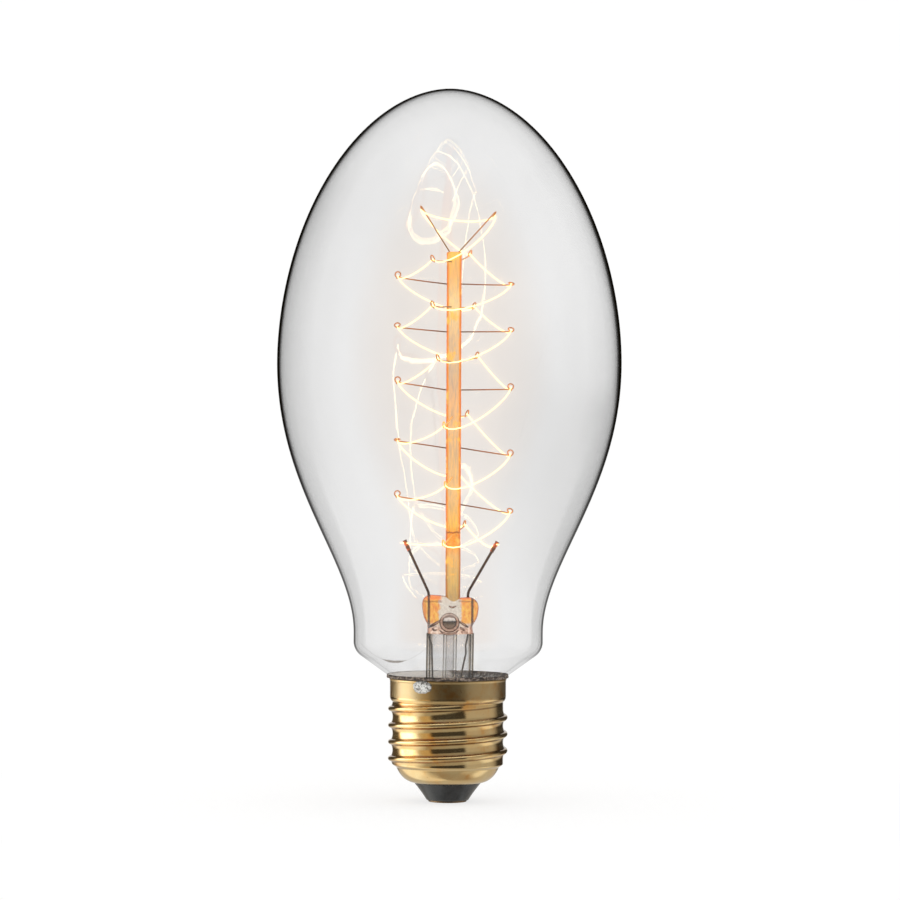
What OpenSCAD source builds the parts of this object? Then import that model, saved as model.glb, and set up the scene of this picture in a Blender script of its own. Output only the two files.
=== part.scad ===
// Decorative filament lamp: a clear bulb on a screw cap, with a glass stem, a tall glass rod
// and a filament strung over wire hooks.
// Z runs up the lamp's axis from the underside of the centre contact.
// X points right and Y points away, seen from the front.

/* [Bulb] */
// Height of the whole lamp
lamp_h = 156; // [150:1:165]
// Widest radius of the glass
bulb_r = 37.7; // [35:0.1:42]
// Height of the widest level
bulb_wide_z = 96; // [90:1:102]
// Fullness of the dome: 2 is an ellipse, less is more pointed
dome_power = 1.9; // [1.7:0.05:2.2]
// How far the belly keeps its fullness below the widest level
belly_pull = 28; // [22:1:34]
// How far the waist keeps its slimness upward
waist_pull = 18; // [12:1:22]
// Radius of the waist above the shoulder
waist_r = 20.7; // [19:0.1:23]
// Length of the straight part of the waist
waist_len = 2; // [1:0.25:4]
// Rounding of the shoulder
shoulder_round = 3.8; // [2.5:0.1:5]
// Slope of the cone under the shoulder, from level
shoulder_slope = 38.5; // [34:0.5:42]
// Rounding where the cone turns down into the neck
neck_round = 1.6; // [1:0.1:2.4]
// Thickness of the bulb's glass
glass_wall = 0.7; // [0.5:0.05:0.9]
// Depth of the neck below the rim of the cap
neck_depth = 11.15; // [9:0.25:13]
// Height of the glass over the rim of the cap
seat_gap = 0.25; // [0.15:0.05:0.6]

/* [Screw cap] */
// Height of the cap's rim over the centre contact
cap_h = 26.55; // [25.5:0.05:28]
// Radius over the crest of the thread
thread_r = 13.1; // [13.02:0.01:13.22]
// Depth of the thread
thread_depth = 0.97; // [0.8:0.01:1.05]
// Pitch of the thread, seven to the inch
thread_pitch = 3.629; // [3.5:0.001:3.7]
// Width of the rolled bead as a share of the pitch
bead_share = 0.42; // [0.3:0.01:0.6]
// Height where the lowest end of the thread runs out
thread_low_z = 8.2; // [8:0.1:9]
// Length of the thread in turns, run out ends included
thread_turns = 3.72; // [3.2:0.02:3.72]
// Radius of the plain collar over the thread
collar_r = 12.7; // [12.4:0.05:13]
// Height of the plain collar
collar_h = 3.65; // [3:0.05:3.8]
// Thickness of the sheet brass
shell_wall = 0.3; // [0.26:0.01:0.36]
// Radius of the heel under the thread
heel_r = 11.2; // [10.8:0.05:11.6]
// Height where the heel starts to round in
heel_z = 7.4; // [7:0.1:7.6]
// Radius of the opening that holds the black glass
mouth_r = 7.5; // [7:0.1:8]
// Height of the opening's edge
mouth_z = 4.2; // [3.8:0.1:4.6]

/* [Cap filling] */
// Radius of the black glass at its foot
foot_r = 4.6; // [4.4:0.1:5]
// How far the flank of the black glass is drawn in
flank_hollow = 0.35; // [0:0.05:0.6]
// Radius of the centre contact
contact_r = 4.2; // [3.6:0.1:4.3]
// Thickness of the centre contact
contact_t = 0.8; // [0.6:0.05:1]
// How far the contact stands below the black glass
contact_proud = 0.4; // [0.2:0.05:0.5]
// Radius of the solder in the middle of the contact
solder_r = 2.2; // [1.6:0.1:2.6]
// How far the bead of cement stands out past the collar
cement_proud = 0.65; // [0.2:0.05:0.9]
// Radius of the solder lump on the side of the collar
lump_r = 2; // [1.6:0.1:2.3]
// Height of the lump's middle below the rim
lump_drop = 1.35; // [1.1:0.05:1.6]
// Direction in which the side lead comes out
side_turn = 244; // [230:1:260]

/* [Stem] */
// Radius of the stem tube
stem_r = 5.2; // [4.8:0.1:5.6]
// Thickness of the stem tube
stem_wall = 0.6; // [0.5:0.05:0.7]
// Height of the stem tube over the end of the neck
stem_len = 21.4; // [19:0.2:24]
// Width of the flattened press
press_w = 12.4; // [11.6:0.1:13.4]
// Thickness of the flattened press
press_t = 4.2; // [3.8:0.1:4.8]
// Height of the press over the stem tube
press_h = 8.2; // [7.4:0.1:9]
// How far the middle of the press lies below its two lobes
saddle_drop = 0.9; // [0.4:0.1:1.4]
// How much higher the left lobe stands than the right one
lobe_skew = 0.5; // [0:0.1:0.8]
// Radius of the exhaust tube
exhaust_r = 1.5; // [1.3:0.1:1.8]
// Radius of the exhaust tube's bore
exhaust_bore_r = 0.9; // [0.7:0.05:1]
// Length of the exhaust tube below the press
exhaust_len = 26.3; // [22:0.1:27]
// Height of the exhaust hole over the stem tube
hole_z = 2.7; // [2.4:0.1:3]
// Tilt of the exhaust hole, from level
hole_tilt = 14; // [8:1:20]
// Radius of the exhaust hole
hole_r = 1.35; // [1.1:0.05:1.5]
// Radius of the glass rod
rod_r = 1.7; // [1.5:0.05:1.9]
// Length of the glass rod
rod_len = 77.4; // [70:0.2:84]
// Depth of the rod's foot in the press
rod_seat = 1.2; // [0.8:0.1:1.6]
// Sideways set of the rod, as the press was pinched
rod_shift = 0.95; // [0:0.05:1.2]

/* [Leads] */
// Radius of the inner lead wires
lead_r = 0.3; // [0.25:0.01:0.35]
// Radius of the wires sealed in the press
seal_r = 0.25; // [0.2:0.01:0.3]
// Radius of the leads inside the stem tube
tail_r = 0.2; // [0.15:0.01:0.22]
// Depth of the inner leads in the press
lead_seat = 0.6; // [0.4:0.1:1]
// Radius of the bend where the inner leads spread
lead_bend = 3; // [2:0.25:5]
// Lean of the left inner lead
lean_left = 25; // [20:0.5:30]
// Lean of the right inner lead
lean_right = 30; // [24:0.5:34]
// Straight length of the inner leads past the bend
lead_len = 10.6; // [9:0.1:12]
// Radius of the clamps on the lead tips
clamp_r = 0.48; // [0.42:0.01:0.6]
// Length of a clamp
clamp_len = 2.6; // [2.2:0.1:3.2]

/* [Hooks and filament] */
// Height of the lowest hooks over the tip of the left inner lead
lowest_rise = 2.4; // [1.8:0.1:4]
// Radius of the hook wire
hook_r = 0.14; // [0.1:0.01:0.18]
// Length of a hook from the rod to its curl
hook_len = 10.8; // [9.5:0.1:12]
// Length of the two top hooks
top_hook_len = 11.3; // [10:0.1:12]
// Depth of a hook's root in the rod
hook_seat = 0.9; // [0.6:0.05:1]
// Radius of a hook's curl
curl_r = 0.6; // [0.55:0.01:0.8]
// Turn of the curl
curl_sweep = 275; // [240:5:285]
// Radius of the filament
filament_r = 0.15; // [0.1:0.01:0.18]
// Sag of the filament as a share of each span
sag_share = 0.12; // [0.06:0.01:0.14]

/* [Hidden] */
// Place of each level of hooks, as a share of the way from the top of the rod to the lowest level
level_share = [0, 0.0355, 0.113, 0.195, 0.282, 0.3885, 0.487, 0.582, 0.692, 0.795, 0.892, 1];
// Tilt of the hooks, from the top level that has the side down
left_tilt = [58, 7.5, 5, 8.5, 8, 9.5];
right_tilt = [48, -1, 0.5, 1, -8.5, -9.5];
front_tilt = [-2, -2, 0.5, -13, -11, -10.5];
back_tilt = [11, 1.5, 7, 2, 2, 9.5];
// Turn of the front and back hooks away from the Y axis, seen from above
front_turn = [22, 22, 16, 10, 8, 10];
back_turn = [16.5, 21, 25, 14, 5, 12];
// Twist of the left and right curls about their wires
left_twist = [0, 0, 35, 0, 35, 15];
right_twist = [0, 35, 35, 0, 0, 30];

// Clearance of a piece in the glass or clamp that holds it
fit = 0.01;
// Clearance of a wire in the metal or cement that it passes through
channel = 0.02;
$fn = 144;
fine_fn = 24;
dome_steps = 14;
body_steps = 12;
round_steps = 5;
bead_points = 6;
thread_steps = 36;
wire_sides = 8;
filament_sides = 6;
hook_sides = 6;
curl_steps = 10;
lead_steps = 4;
span_steps = 6;

levels = len(level_share);
valley_r = thread_r - thread_depth;
neck_gap = 0.53;
neck_r = valley_r - shell_wall - neck_gap;
neck_end_z = cap_h - neck_depth;
stem_top_z = neck_end_z + stem_len;
press_top_z = stem_top_z + press_h;
lobe_x = (press_w - press_t) / 2;
rod_z = press_top_z - saddle_drop - rod_seat;
rod_top_z = rod_z + rod_len;
seal_clear = 0.05;
seal_x = stem_r - stem_wall - seal_r - seal_clear;
lead_z = press_top_z - lead_seat;
collar_in_r = collar_r - shell_wall;
tail_ring_r = neck_r + neck_gap / 2;
contact_z = contact_proud;

// Points on a circle, between two directions
function arc(centre, r, from, to, steps) =
    [for (i = [0:steps]) let (a = from + (to - from) * i / steps) centre + r * [cos(a), sin(a)]];

// Points on a smooth curve that leaves a towards b and reaches d from c
function curve(a, b, c, d, steps) =
    [for (i = [0:steps]) let (t = i / steps, s = 1 - t)
        s * s * s * a + 3 * s * s * t * b + 3 * s * t * t * c + t * t * t * d];

function tail(list, skip = 1) = [for (i = [skip:len(list) - 1]) list[i]];
function flip(list) = [for (i = [len(list) - 1:-1:0]) list[i]];
function unit(v) = v / norm(v);

// An outline moved towards the axis by the wall, for outlines that run outward and down
function inward(path, wall) =
    [for (i = [0:len(path) - 1])
        let (
            before = path[max(i - 1, 0)],
            after = path[min(i + 1, len(path) - 1)],
            along = i == 0 && path[0].x == 0 ? [1, 0] : unit(after - before)
        )
        path[i] + wall * [along.y, -along.x]];

// Bulb outline

shoulder_end_r = waist_r - shoulder_round * (1 - sin(shoulder_slope));
shoulder_z = cap_h + seat_gap + (shoulder_end_r - collar_r) * tan(shoulder_slope)
    + shoulder_round * cos(shoulder_slope);
waist_z = shoulder_z + waist_len;
function cone_z(r) = cap_h + seat_gap + (r - collar_r) * tan(shoulder_slope);
neck_centre_r = neck_r + neck_round;
neck_centre_z = cone_z(neck_centre_r - neck_round * sin(shoulder_slope))
    - neck_round * cos(shoulder_slope);
neck_arc = arc([neck_centre_r, neck_centre_z], neck_round, 90 + shoulder_slope, 180, round_steps);

dome = [for (i = [0:dome_steps]) let (a = 90 - 90 * i / dome_steps)
    [bulb_r * pow(cos(a), 2 / dome_power),
     bulb_wide_z + (lamp_h - bulb_wide_z) * pow(sin(a), 2 / dome_power)]];
body = curve([bulb_r, bulb_wide_z], [bulb_r, bulb_wide_z - belly_pull],
    [waist_r, waist_z + waist_pull], [waist_r, waist_z], body_steps);
shoulder = arc([waist_r - shoulder_round, shoulder_z], shoulder_round, 0,
    shoulder_slope - 90, round_steps);
bulb_outline = concat(dome, tail(body), shoulder, neck_arc, [[neck_r, neck_end_z]]);

module glass_envelope() {
    color([0.86, 0.9, 0.92, 0.3])
        rotate_extrude()
            polygon(concat(bulb_outline, flip(inward(bulb_outline, glass_wall))));
}

// Wires and other swept shapes

// Ring of points across a route, in order around the direction of travel
function ring(p, along, up, r, sides) =
    let (u = unit(cross(up, along)), v = cross(unit(along), u))
    [for (s = [0:sides - 1]) p + r * (cos(360 * s / sides) * u + sin(360 * s / sides) * v)];

// Closed triangle mesh through a list of rings
module skin(rings) {
    n = len(rings[0]);
    last = (len(rings) - 1) * n;
    walls = [for (i = [0:len(rings) - 2], s = [0:n - 1])
        let (a = i * n + s, d = i * n + (s + 1) % n)
        each [[a, a + n, d + n], [a, d + n, d]]];
    ends = [for (s = [1:n - 2]) each [[0, s, s + 1], [last, last + s + 1, last + s]]];
    polyhedron(points = [for (r = rings) each r], faces = concat(walls, ends));
}

module wire(route, r, sides, up) {
    stops = len(route) - 1;
    skin([for (i = [0:stops])
        ring(route[i], route[min(i + 1, stops)] - route[max(i - 1, 0)], up, r, sides)]);
}

// Screw cap

collar_foot_z = cap_h - collar_h;
collar_round = 1.2;
collar_turn = acos(1 - (collar_r - valley_r) / collar_round);
thread_top_z = collar_foot_z - collar_round * sin(collar_turn);
// Where the heel's roundness is fullest: its share of the way out, and its height over the edge
heel_fullness = 0.675;
heel_lift = 0.4;
heel_corner = [mouth_r + heel_fullness * (heel_r - mouth_r), mouth_z + heel_lift];
heel = curve([heel_r, heel_z], [heel_r, heel_z] / 3 + heel_corner * 2 / 3,
    [mouth_r, mouth_z] / 3 + heel_corner * 2 / 3, [mouth_r, mouth_z], 2 * round_steps);
collar = concat([[collar_r, cap_h]],
    arc([collar_r - collar_round, collar_foot_z], collar_round, 0, -collar_turn, round_steps));
heel_inside = inward(heel, shell_wall);
bore_r = valley_r - shell_wall;
// The edge of the opening is turned in by this much
mouth_lip = 0.1;
mouth_in_r = mouth_r - mouth_lip;

// Overlap of the stretches that the shell is joined from
lap = 0.1;
thread_start = 60;
thread_fade = 0.25;
// Places across one pitch where the thread's surface is set out
bead_places = [0, for (j = [0:bead_points]) 0.5 + bead_share * (j / bead_points - 0.5)];
places = len(bead_places);
grid_turns = ceil((thread_top_z - heel_z) / thread_pitch) + 2;
grid_rows = grid_turns * thread_steps;
grid_z = thread_low_z - 1.5 * thread_pitch;

// How far the thread has risen to its full height, along its turns
function thread_rise(turns) =
    let (t = max(0, min(1, turns / thread_fade, (thread_turns - turns) / thread_fade)))
    t * t * (3 - 2 * t);

// Point of the thread's surface, so many steps along and at a place across the pitch
function thread_point(k, place) =
    let (
        turns = k / thread_steps,
        u = (place - 0.5) / bead_share,
        bump = abs(u) < 0.5 ? (1 + cos(360 * u)) / 2 : 0,
        r = valley_r - channel + (thread_depth + channel) * bump * thread_rise(turns - 1),
        a = thread_start + 360 * turns
    )
    [r * cos(a), r * sin(a), grid_z + thread_pitch * (turns + place)];

// Number of a point: the last place of a row is the first place one turn up
function thread_index(k, m) =
    m < places ? k * places + m
    : k + thread_steps <= grid_rows ? (k + thread_steps) * places
    : (grid_rows + 1) * places + k + thread_steps - grid_rows - 1;

module thread_solid() {
    low = (grid_rows + 1) * places + thread_steps;
    low_edge = concat([for (k = [0:thread_steps]) thread_index(k, 0)],
        [for (m = [places - 1:-1:1]) thread_index(0, m)]);
    high_edge = concat([for (k = [grid_rows - thread_steps:grid_rows]) thread_index(k, places)],
        [for (m = [places - 1:-1:1]) thread_index(grid_rows, m)]);
    polyhedron(
        points = concat(
            [for (k = [0:grid_rows], m = [0:places - 1]) thread_point(k, bead_places[m])],
            [for (k = [grid_rows - thread_steps + 1:grid_rows]) thread_point(k, 1)],
            [[0, 0, grid_z], [0, 0, grid_z + thread_pitch * (grid_turns + 1)]]
        ),
        faces = concat(
            [for (k = [0:grid_rows - 1], m = [0:places - 1]) each [
                [thread_index(k, m), thread_index(k, m + 1), thread_index(k + 1, m + 1)],
                [thread_index(k, m), thread_index(k + 1, m + 1), thread_index(k + 1, m)]]],
            [for (i = [0:len(low_edge) - 1])
                [low, low_edge[i], low_edge[(i + 1) % len(low_edge)]]],
            [for (i = [0:len(high_edge) - 1])
                [low + 1, high_edge[(i + 1) % len(high_edge)], high_edge[i]]]
        )
    );
}

module cap_shell() {
    color("goldenrod")
        difference() {
            union() {
                intersection() {
                    thread_solid();
                    translate([0, 0, heel_z])
                        cylinder(r = 2 * thread_r, h = thread_top_z - heel_z - lap / 2);
                }
                rotate_extrude()
                    polygon(concat([[0, cap_h]], collar, [
                        [valley_r - lap, thread_top_z - lap], [0, thread_top_z - lap]]));
                rotate_extrude()
                    polygon(concat([[0, heel_z + lap], [heel_r, heel_z + lap]], tail(heel),
                        [[0, mouth_z]]));
            }
            rotate_extrude()
                polygon(concat(
                    [[0, cap_h + 1], [collar_in_r, cap_h + 1]],
                    inward(collar, shell_wall),
                    [[bore_r, thread_top_z + lap], [bore_r, heel_z + shell_wall]],
                    heel_inside,
                    [[mouth_in_r, mouth_z], [mouth_in_r, 0], [0, 0]]
                ));
            wire(side_route, tail_r + channel, wire_sides, [1, 0, 0]);
        }
}

module cap_insulator() {
    flank = arc_between([foot_r, contact_z], [mouth_in_r, mouth_z], flank_hollow, round_steps);
    color([0.07, 0.07, 0.08])
        rotate_extrude()
            polygon(concat(
                [[lead_hole_r, contact_t], [contact_r, contact_t], [contact_r, contact_z]],
                flank,
                flip(heel_inside),
                [[lead_hole_r, heel_z - insulator_dish]]
            ));
}

// Points on a shallow arc between two ends, hollow by the given depth
function arc_between(a, b, hollow, steps) =
    let (along = b - a, side = unit([-along.y, along.x]))
    [for (i = [0:steps]) let (t = i / steps) a + along * t + side * hollow * 4 * t * (1 - t)];

lead_hole_r = 1;
insulator_dish = 0.8;
rivet_r = 0.6;
solder_recess = 0.25;
solder_flush = 0.05;
solder_neck = 0.3;
centre_end_z = 0.5;

module contact_plate() {
    color("khaki")
        rotate_extrude()
            polygon([[rivet_r, solder_recess], [solder_r, solder_recess], [solder_r, 0],
                [contact_r, 0], [contact_r, contact_t], [rivet_r, contact_t]]);
}

module contact_solder() {
    top_z = contact_t + solder_neck;
    color("silver")
        rotate_extrude()
            polygon([[0, solder_flush], [solder_r - 2 * solder_flush, solder_flush],
                [solder_r, 2 * solder_flush], [solder_r, solder_recess], [rivet_r, solder_recess],
                [rivet_r, top_z], [tail_r + fit, top_z], [tail_r + fit, centre_end_z],
                [0, centre_end_z]]);
}

module base_cement() {
    lip_r = collar_r + cement_proud;
    color([0.3, 0.27, 0.24])
        difference() {
            rotate_extrude()
                polygon(concat([[lip_r, cone_z(lip_r)]], neck_arc, [
                    [neck_r, collar_foot_z], [collar_in_r, collar_foot_z], [collar_in_r, cap_h],
                    [collar_r, cap_h], [lip_r, (cap_h + cone_z(lip_r)) / 2]]));
            wire(side_route, tail_r + channel, wire_sides, [1, 0, 0]);
        }
}

lump_sink = 1.1;
lump_spread = 4;

module side_solder() {
    color("silver")
        difference() {
            for (turn = [-lump_spread, lump_spread])
                rotate([0, 0, side_turn + turn])
                    translate([collar_r - lump_sink, 0, cap_h - lump_drop])
                        sphere(r = lump_r);
            cylinder(r = collar_r, h = 2 * cap_h);
            translate([0, 0, cap_h])
                cylinder(r = 2 * collar_r, h = lump_r);
            wire(side_route, tail_r + channel, wire_sides, [1, 0, 0]);
        }
}

// Stem

neck_in_r = neck_r - glass_wall;
flare_round = neck_in_r - stem_r;

module stem_flare() {
    centre = [neck_in_r, neck_end_z + flare_round];
    color([0.86, 0.9, 0.92, 0.5])
        rotate_extrude()
            polygon(concat(
                [[stem_r, stem_top_z]],
                arc(centre, flare_round, 180, 270, 2 * round_steps),
                [[neck_r, neck_end_z], [neck_r, neck_end_z - stem_wall]],
                arc(centre, flare_round + stem_wall, 270, 180, 2 * round_steps),
                [[stem_r - stem_wall, stem_top_z]]
            ));
}

lip_w = 0.6;
lip_h = 0.3;
press_foot = 0.4;
lobe_z = press_top_z - press_t / 2;
saddle_r = 5;
// The front of the press slopes from the stem tube in to the lobes
face_slope = (stem_r - press_t / 2) / (lobe_z - stem_top_z - press_foot);
face_y = stem_r - face_slope * (hole_z - press_foot);

module on_exhaust_hole(tilt) {
    translate([0, -face_y, stem_top_z + hole_z])
        rotate([90 - tilt, 0, 0])
            children();
}

module stem_press() {
    color([0.95, 0.72, 0.4, 0.6])
        difference() {
            union() {
                hull() {
                    translate([0, 0, stem_top_z])
                        cylinder(r = stem_r, h = press_foot, $fn = 32);
                    for (side = [-1, 1])
                        translate([side * lobe_x, 0, lobe_z - side * lobe_skew / 2])
                            sphere(d = press_t, $fn = 32);
                }
                on_exhaust_hole(atan(face_slope))
                    translate([0, 0, -lip_h])
                        cylinder(r1 = hole_r + lip_w + lip_h, r2 = hole_r + lip_w - lip_h, h = 2 * lip_h);
            }
            translate([0, 0, stem_top_z - 1])
                cylinder(r = exhaust_bore_r, h = 1 + hole_z);
            on_exhaust_hole(hole_tilt)
                translate([0, 0, -face_y])
                    cylinder(r = hole_r, h = 2 * face_y);
            translate([rod_shift, 0, press_top_z - saddle_drop + saddle_r])
                rotate([90, 0, 0])
                    cylinder(r = saddle_r, h = 2 * press_t, center = true);
            translate([rod_shift, 0, rod_z])
                cylinder(r = rod_r + fit, h = press_h);
            for (side = [-1, 1])
                translate([side * seal_x, 0, 0]) {
                    translate([0, 0, stem_top_z - 1])
                        cylinder(r = seal_r + fit, h = lead_z - stem_top_z + 1, $fn = fine_fn);
                    translate([0, 0, lead_z])
                        cylinder(r = lead_r + fit, h = press_h, $fn = fine_fn);
                }
        }
}

module exhaust_tube() {
    tip_z = stem_top_z - exhaust_len;
    bore_tip_z = tip_z + exhaust_r;
    color([0.86, 0.9, 0.92, 0.5])
        rotate_extrude()
            polygon(concat(
                [[exhaust_bore_r, stem_top_z], [exhaust_r, stem_top_z]],
                arc([0, tip_z + exhaust_r], exhaust_r, 0, -90, round_steps),
                [[0, bore_tip_z], [exhaust_bore_r, bore_tip_z + exhaust_bore_r]]
            ));
}

// Leads

// Middle of the tip of an inner lead, and the direction in which it leans
function lead_lean(side) = side < 0 ? lean_left : lean_right;
function lead_along(side) = let (a = lead_lean(side)) [side * sin(a), 0, cos(a)];
function lead_end(side) =
    let (a = lead_lean(side))
    [side * (seal_x + lead_bend * (1 - cos(a))), 0, press_top_z + lead_bend * sin(a)]
        + lead_len * lead_along(side);

module inner_lead(side) {
    a = lead_lean(side);
    color([0.3, 0.22, 0.18])
        wire(concat(
            [[side * seal_x, 0, lead_z]],
            [for (i = [0:lead_steps]) let (t = a * i / lead_steps)
                [side * (seal_x + lead_bend * (1 - cos(t))), 0, press_top_z + lead_bend * sin(t)]],
            [lead_end(side)]
        ), lead_r, wire_sides, [0, 1, 0]);
}

module lead_wire_left() inner_lead(-1);
module lead_wire_right() inner_lead(1);

module seal_wire(side) {
    color([0.45, 0.2, 0.14])
        translate([side * seal_x, 0, stem_top_z])
            cylinder(r = seal_r, h = lead_z - stem_top_z, $fn = fine_fn);
}

module seal_wire_left() seal_wire(-1);
module seal_wire_right() seal_wire(1);

function polar(r, a, z) = [r * cos(a), r * sin(a), z];

// Route of the lead that ends in the side solder
side_route = [
    [-seal_x, 0, stem_top_z],
    [-seal_x, 0, stem_top_z - 0.4],
    [-seal_x + 0.2, 0, stem_top_z - 1.2],
    [-seal_x + 0.7, 0, stem_top_z - 2.4],
    [-seal_x + 0.8, 0, stem_top_z - 6],
    [-seal_x + 1, -0.4, stem_top_z - 12],
    [-seal_x + 1, -1.2, neck_end_z + 5],
    polar(4.6, side_turn, neck_end_z + 1.4),
    polar(7.4, side_turn, neck_end_z - 1.2),
    polar(neck_r - 0.8, side_turn, neck_end_z - 1.9),
    polar(tail_ring_r - 0.1, side_turn, neck_end_z - 1.6),
    polar(tail_ring_r, side_turn, neck_end_z - 1),
    polar(tail_ring_r, side_turn, neck_centre_z - 0.5),
    polar(tail_ring_r + 0.2, side_turn, neck_centre_z + 0.4),
    polar(neck_centre_r - 0.8, side_turn, neck_centre_z + 0.85),
    polar(collar_in_r, side_turn, neck_centre_z + 0.95),
    polar(collar_r + 0.5, side_turn, neck_centre_z + 0.95)
];

// Route of the lead that ends in the centre contact
centre_route = [
    [seal_x, 0, stem_top_z],
    [seal_x, 0, stem_top_z - 0.4],
    [seal_x - 0.5, 0, stem_top_z - 2.8],
    [seal_x - 0.4, 0, stem_top_z - 4.3],
    [seal_x - 1.2, 0.2, stem_top_z - 8],
    [seal_x - 1.8, 0.2, stem_top_z - 12],
    [exhaust_r + 0.8, 0, stem_top_z - exhaust_len + 2],
    [exhaust_r, 0, stem_top_z - exhaust_len - 0.4],
    [0.5, 0, stem_top_z - exhaust_len - 1.5],
    [0, 0, stem_top_z - exhaust_len - 2.6],
    [0, 0, centre_end_z]
];

module outer_lead_side() {
    color([0.55, 0.5, 0.45])
        wire(side_route, tail_r, wire_sides, [1, 0, 0]);
}

module outer_lead_centre() {
    color([0.55, 0.5, 0.45])
        wire(centre_route, tail_r, wire_sides, [1, 0, 0]);
}

// Rod and hooks

// Hooks are known by their level from the top, and by their side:
// 0 right, 1 back, 2 left, 3 front. Odd levels have left and right, even ones front and back.
side_names = ["right", "back", "left", "front"];
function hook_name(level, side) =
    str("hook_", level < 10 ? "0" : "", level, "_", side_names[side]);
function hook_row(level) = floor((level - 1) / 2);
function hook_tilt(level, side) = [right_tilt, back_tilt, left_tilt, front_tilt][side][hook_row(level)];
function hook_turn(level, side) =
    90 * side - (side == 1 ? back_turn[hook_row(level)] : side == 3 ? front_turn[hook_row(level)] : 0);
top_root_r = 1;
low_hook_z = lead_end(-1).z + lowest_rise;

// Where a hook leaves the rod, as a radius and a height
function hook_exit(level) =
    level == 1 ? [top_root_r, rod_top_z]
    : [rod_r, rod_top_z - level_share[level - 1] * (rod_top_z - low_hook_z)];

function hook_reach(level) = level == 1 ? top_hook_len : hook_len;
// The top two hooks curl downwards, the others upwards
function curl_side(level) = level == 1 ? -1 : 1;

function hook_twist(level, side) =
    side == 0 ? right_twist[hook_row(level)] : side == 2 ? left_twist[hook_row(level)] : 0;
// Gaps that the filament keeps from a hook's wire, over the wire and inside a hanging curl
rest_gap = 0.12;
hang_gap = 0.12;
rest_r = hook_r + filament_r + rest_gap;

// Where the filament lies in a hook: on the wire where an upright curl starts,
// or in the bottom of a hanging curl
function hook_rest(level, side) =
    let (
        turn = hook_turn(level, side),
        tilt = hook_tilt(level, side),
        exit = hook_exit(level),
        up = curl_side(level) > 0 ? rest_r : -curl_r,
        drop = curl_side(level) > 0 ? 0 : curl_r - rest_r - hang_gap,
        r = exit.x + hook_reach(level) * cos(tilt) - up * sin(tilt),
        z = exit.y + hook_reach(level) * sin(tilt) + up * cos(tilt) - drop
    )
    [rod_shift + r * cos(turn), r * sin(turn), z];

module on_hook(level, side) {
    exit = hook_exit(level);
    translate([rod_shift, 0, 0])
        rotate([0, 0, hook_turn(level, side)])
            translate([exit.x, 0, exit.y])
                rotate([0, -hook_tilt(level, side), 0])
                    children();
}

module support_hook(level, side) {
    reach = hook_reach(level);
    twist = hook_twist(level, side);
    color([0.4, 0.27, 0.2])
        on_hook(level, side)
            wire(concat(
                [[-hook_seat, 0, 0]],
                [for (i = [0:curl_steps])
                    let (a = curl_sweep * i / curl_steps, rise = curl_r * (1 - cos(a)))
                    [reach + curl_r * sin(a), -rise * sin(twist),
                     curl_side(level) * rise * cos(twist)]]
            ), hook_r, hook_sides, [0, cos(twist), sin(twist)]);
}

function level_sides(level) = level % 2 == 1 ? [0, 2] : [1, 3];

rod_edge = 0.3;

module support_rod() {
    color([0.93, 0.62, 0.25, 0.8])
        difference() {
            translate([rod_shift, 0, rod_z])
                rotate_extrude()
                    polygon([[0, 0], [rod_r, 0], [rod_r, rod_len - rod_edge],
                        [rod_r - rod_edge, rod_len], [0, rod_len]]);
            for (level = [1:levels], side = level_sides(level))
                on_hook(level, side)
                    translate([-hook_seat, 0, 0])
                        rotate([0, 90, 0])
                            cylinder(r = hook_r + fit, h = hook_seat + rod_r, $fn = fine_fn);
        }
}

// Filament

tail_out = 1.2;
clamp_grip = 1.2;
clamp_eye = 0.7;
side_order_up = [3, 0, 1, 2];
side_order_down = [1, 0, 3, 2];

// The filament climbs one helix of hooks, crosses the top and comes down the other
up_stops = [for (i = [0:levels - 1]) [levels - i, side_order_up[i % 4]]];
down_stops = [for (i = [1:levels]) [i, side_order_down[i % 4]]];
stops = concat(up_stops, down_stops);
eyes = [for (s = stops) hook_rest(s[0], s[1])];

function clamp_middle(side) = lead_end(side) + clamp_eye * lead_along(side);
function level_unit(v) = unit([v.x, v.y, 0]);
start_way = level_unit(eyes[0] - clamp_middle(-1));
end_way = level_unit(clamp_middle(1) - eyes[len(eyes) - 1]);

clear_r = clamp_r + 0.2;
knots = concat([clamp_middle(-1) + clear_r * start_way], eyes, [clamp_middle(1) - clear_r * end_way]);

// Direction of the filament at a knot, level and halfway between its neighbours
function knot_way(i) =
    i == 0 ? start_way
    : i == len(knots) - 1 ? end_way
    : level_unit(level_unit(knots[i + 1] - knots[i]) + level_unit(knots[i] - knots[i - 1]));

span_round = 0.35;

// A span leaves its knot along the knot's way, and hangs below the straight line
function span_point(i, t) =
    let (
        a = knots[i], b = knots[i + 1], long = norm(b - a), s = 1 - t,
        pull = span_round * long
    )
    s * s * (1 + 2 * t) * a + t * s * s * pull * knot_way(i)
        + t * t * (3 - 2 * t) * b - t * t * s * pull * knot_way(i + 1)
        - [0, 0, sag_share * long * 4 * t * s];

filament_route = concat(
    [clamp_middle(-1) - tail_out * start_way],
    [for (i = [0:len(knots) - 2], k = [0:span_steps - 1])
        span_point(i, (1 - cos(180 * k / span_steps)) / 2)],
    [knots[len(knots) - 1], clamp_middle(1) + tail_out * end_way]
);

module filament() {
    color([1, 0.85, 0.5])
        wire(filament_route, filament_r, filament_sides, [0, 0, 1]);
}

// Least gap between stretches of the filament that aren't next to each other
far_apart = 2 * span_steps;
least_gap = min([for (i = [0:len(filament_route) - 1 - far_apart],
    j = [i + far_apart:len(filament_route) - 1])
    norm(filament_route[i] - filament_route[j])]) - 2 * filament_r;
echo(least_gap_of_filament = least_gap);

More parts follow.
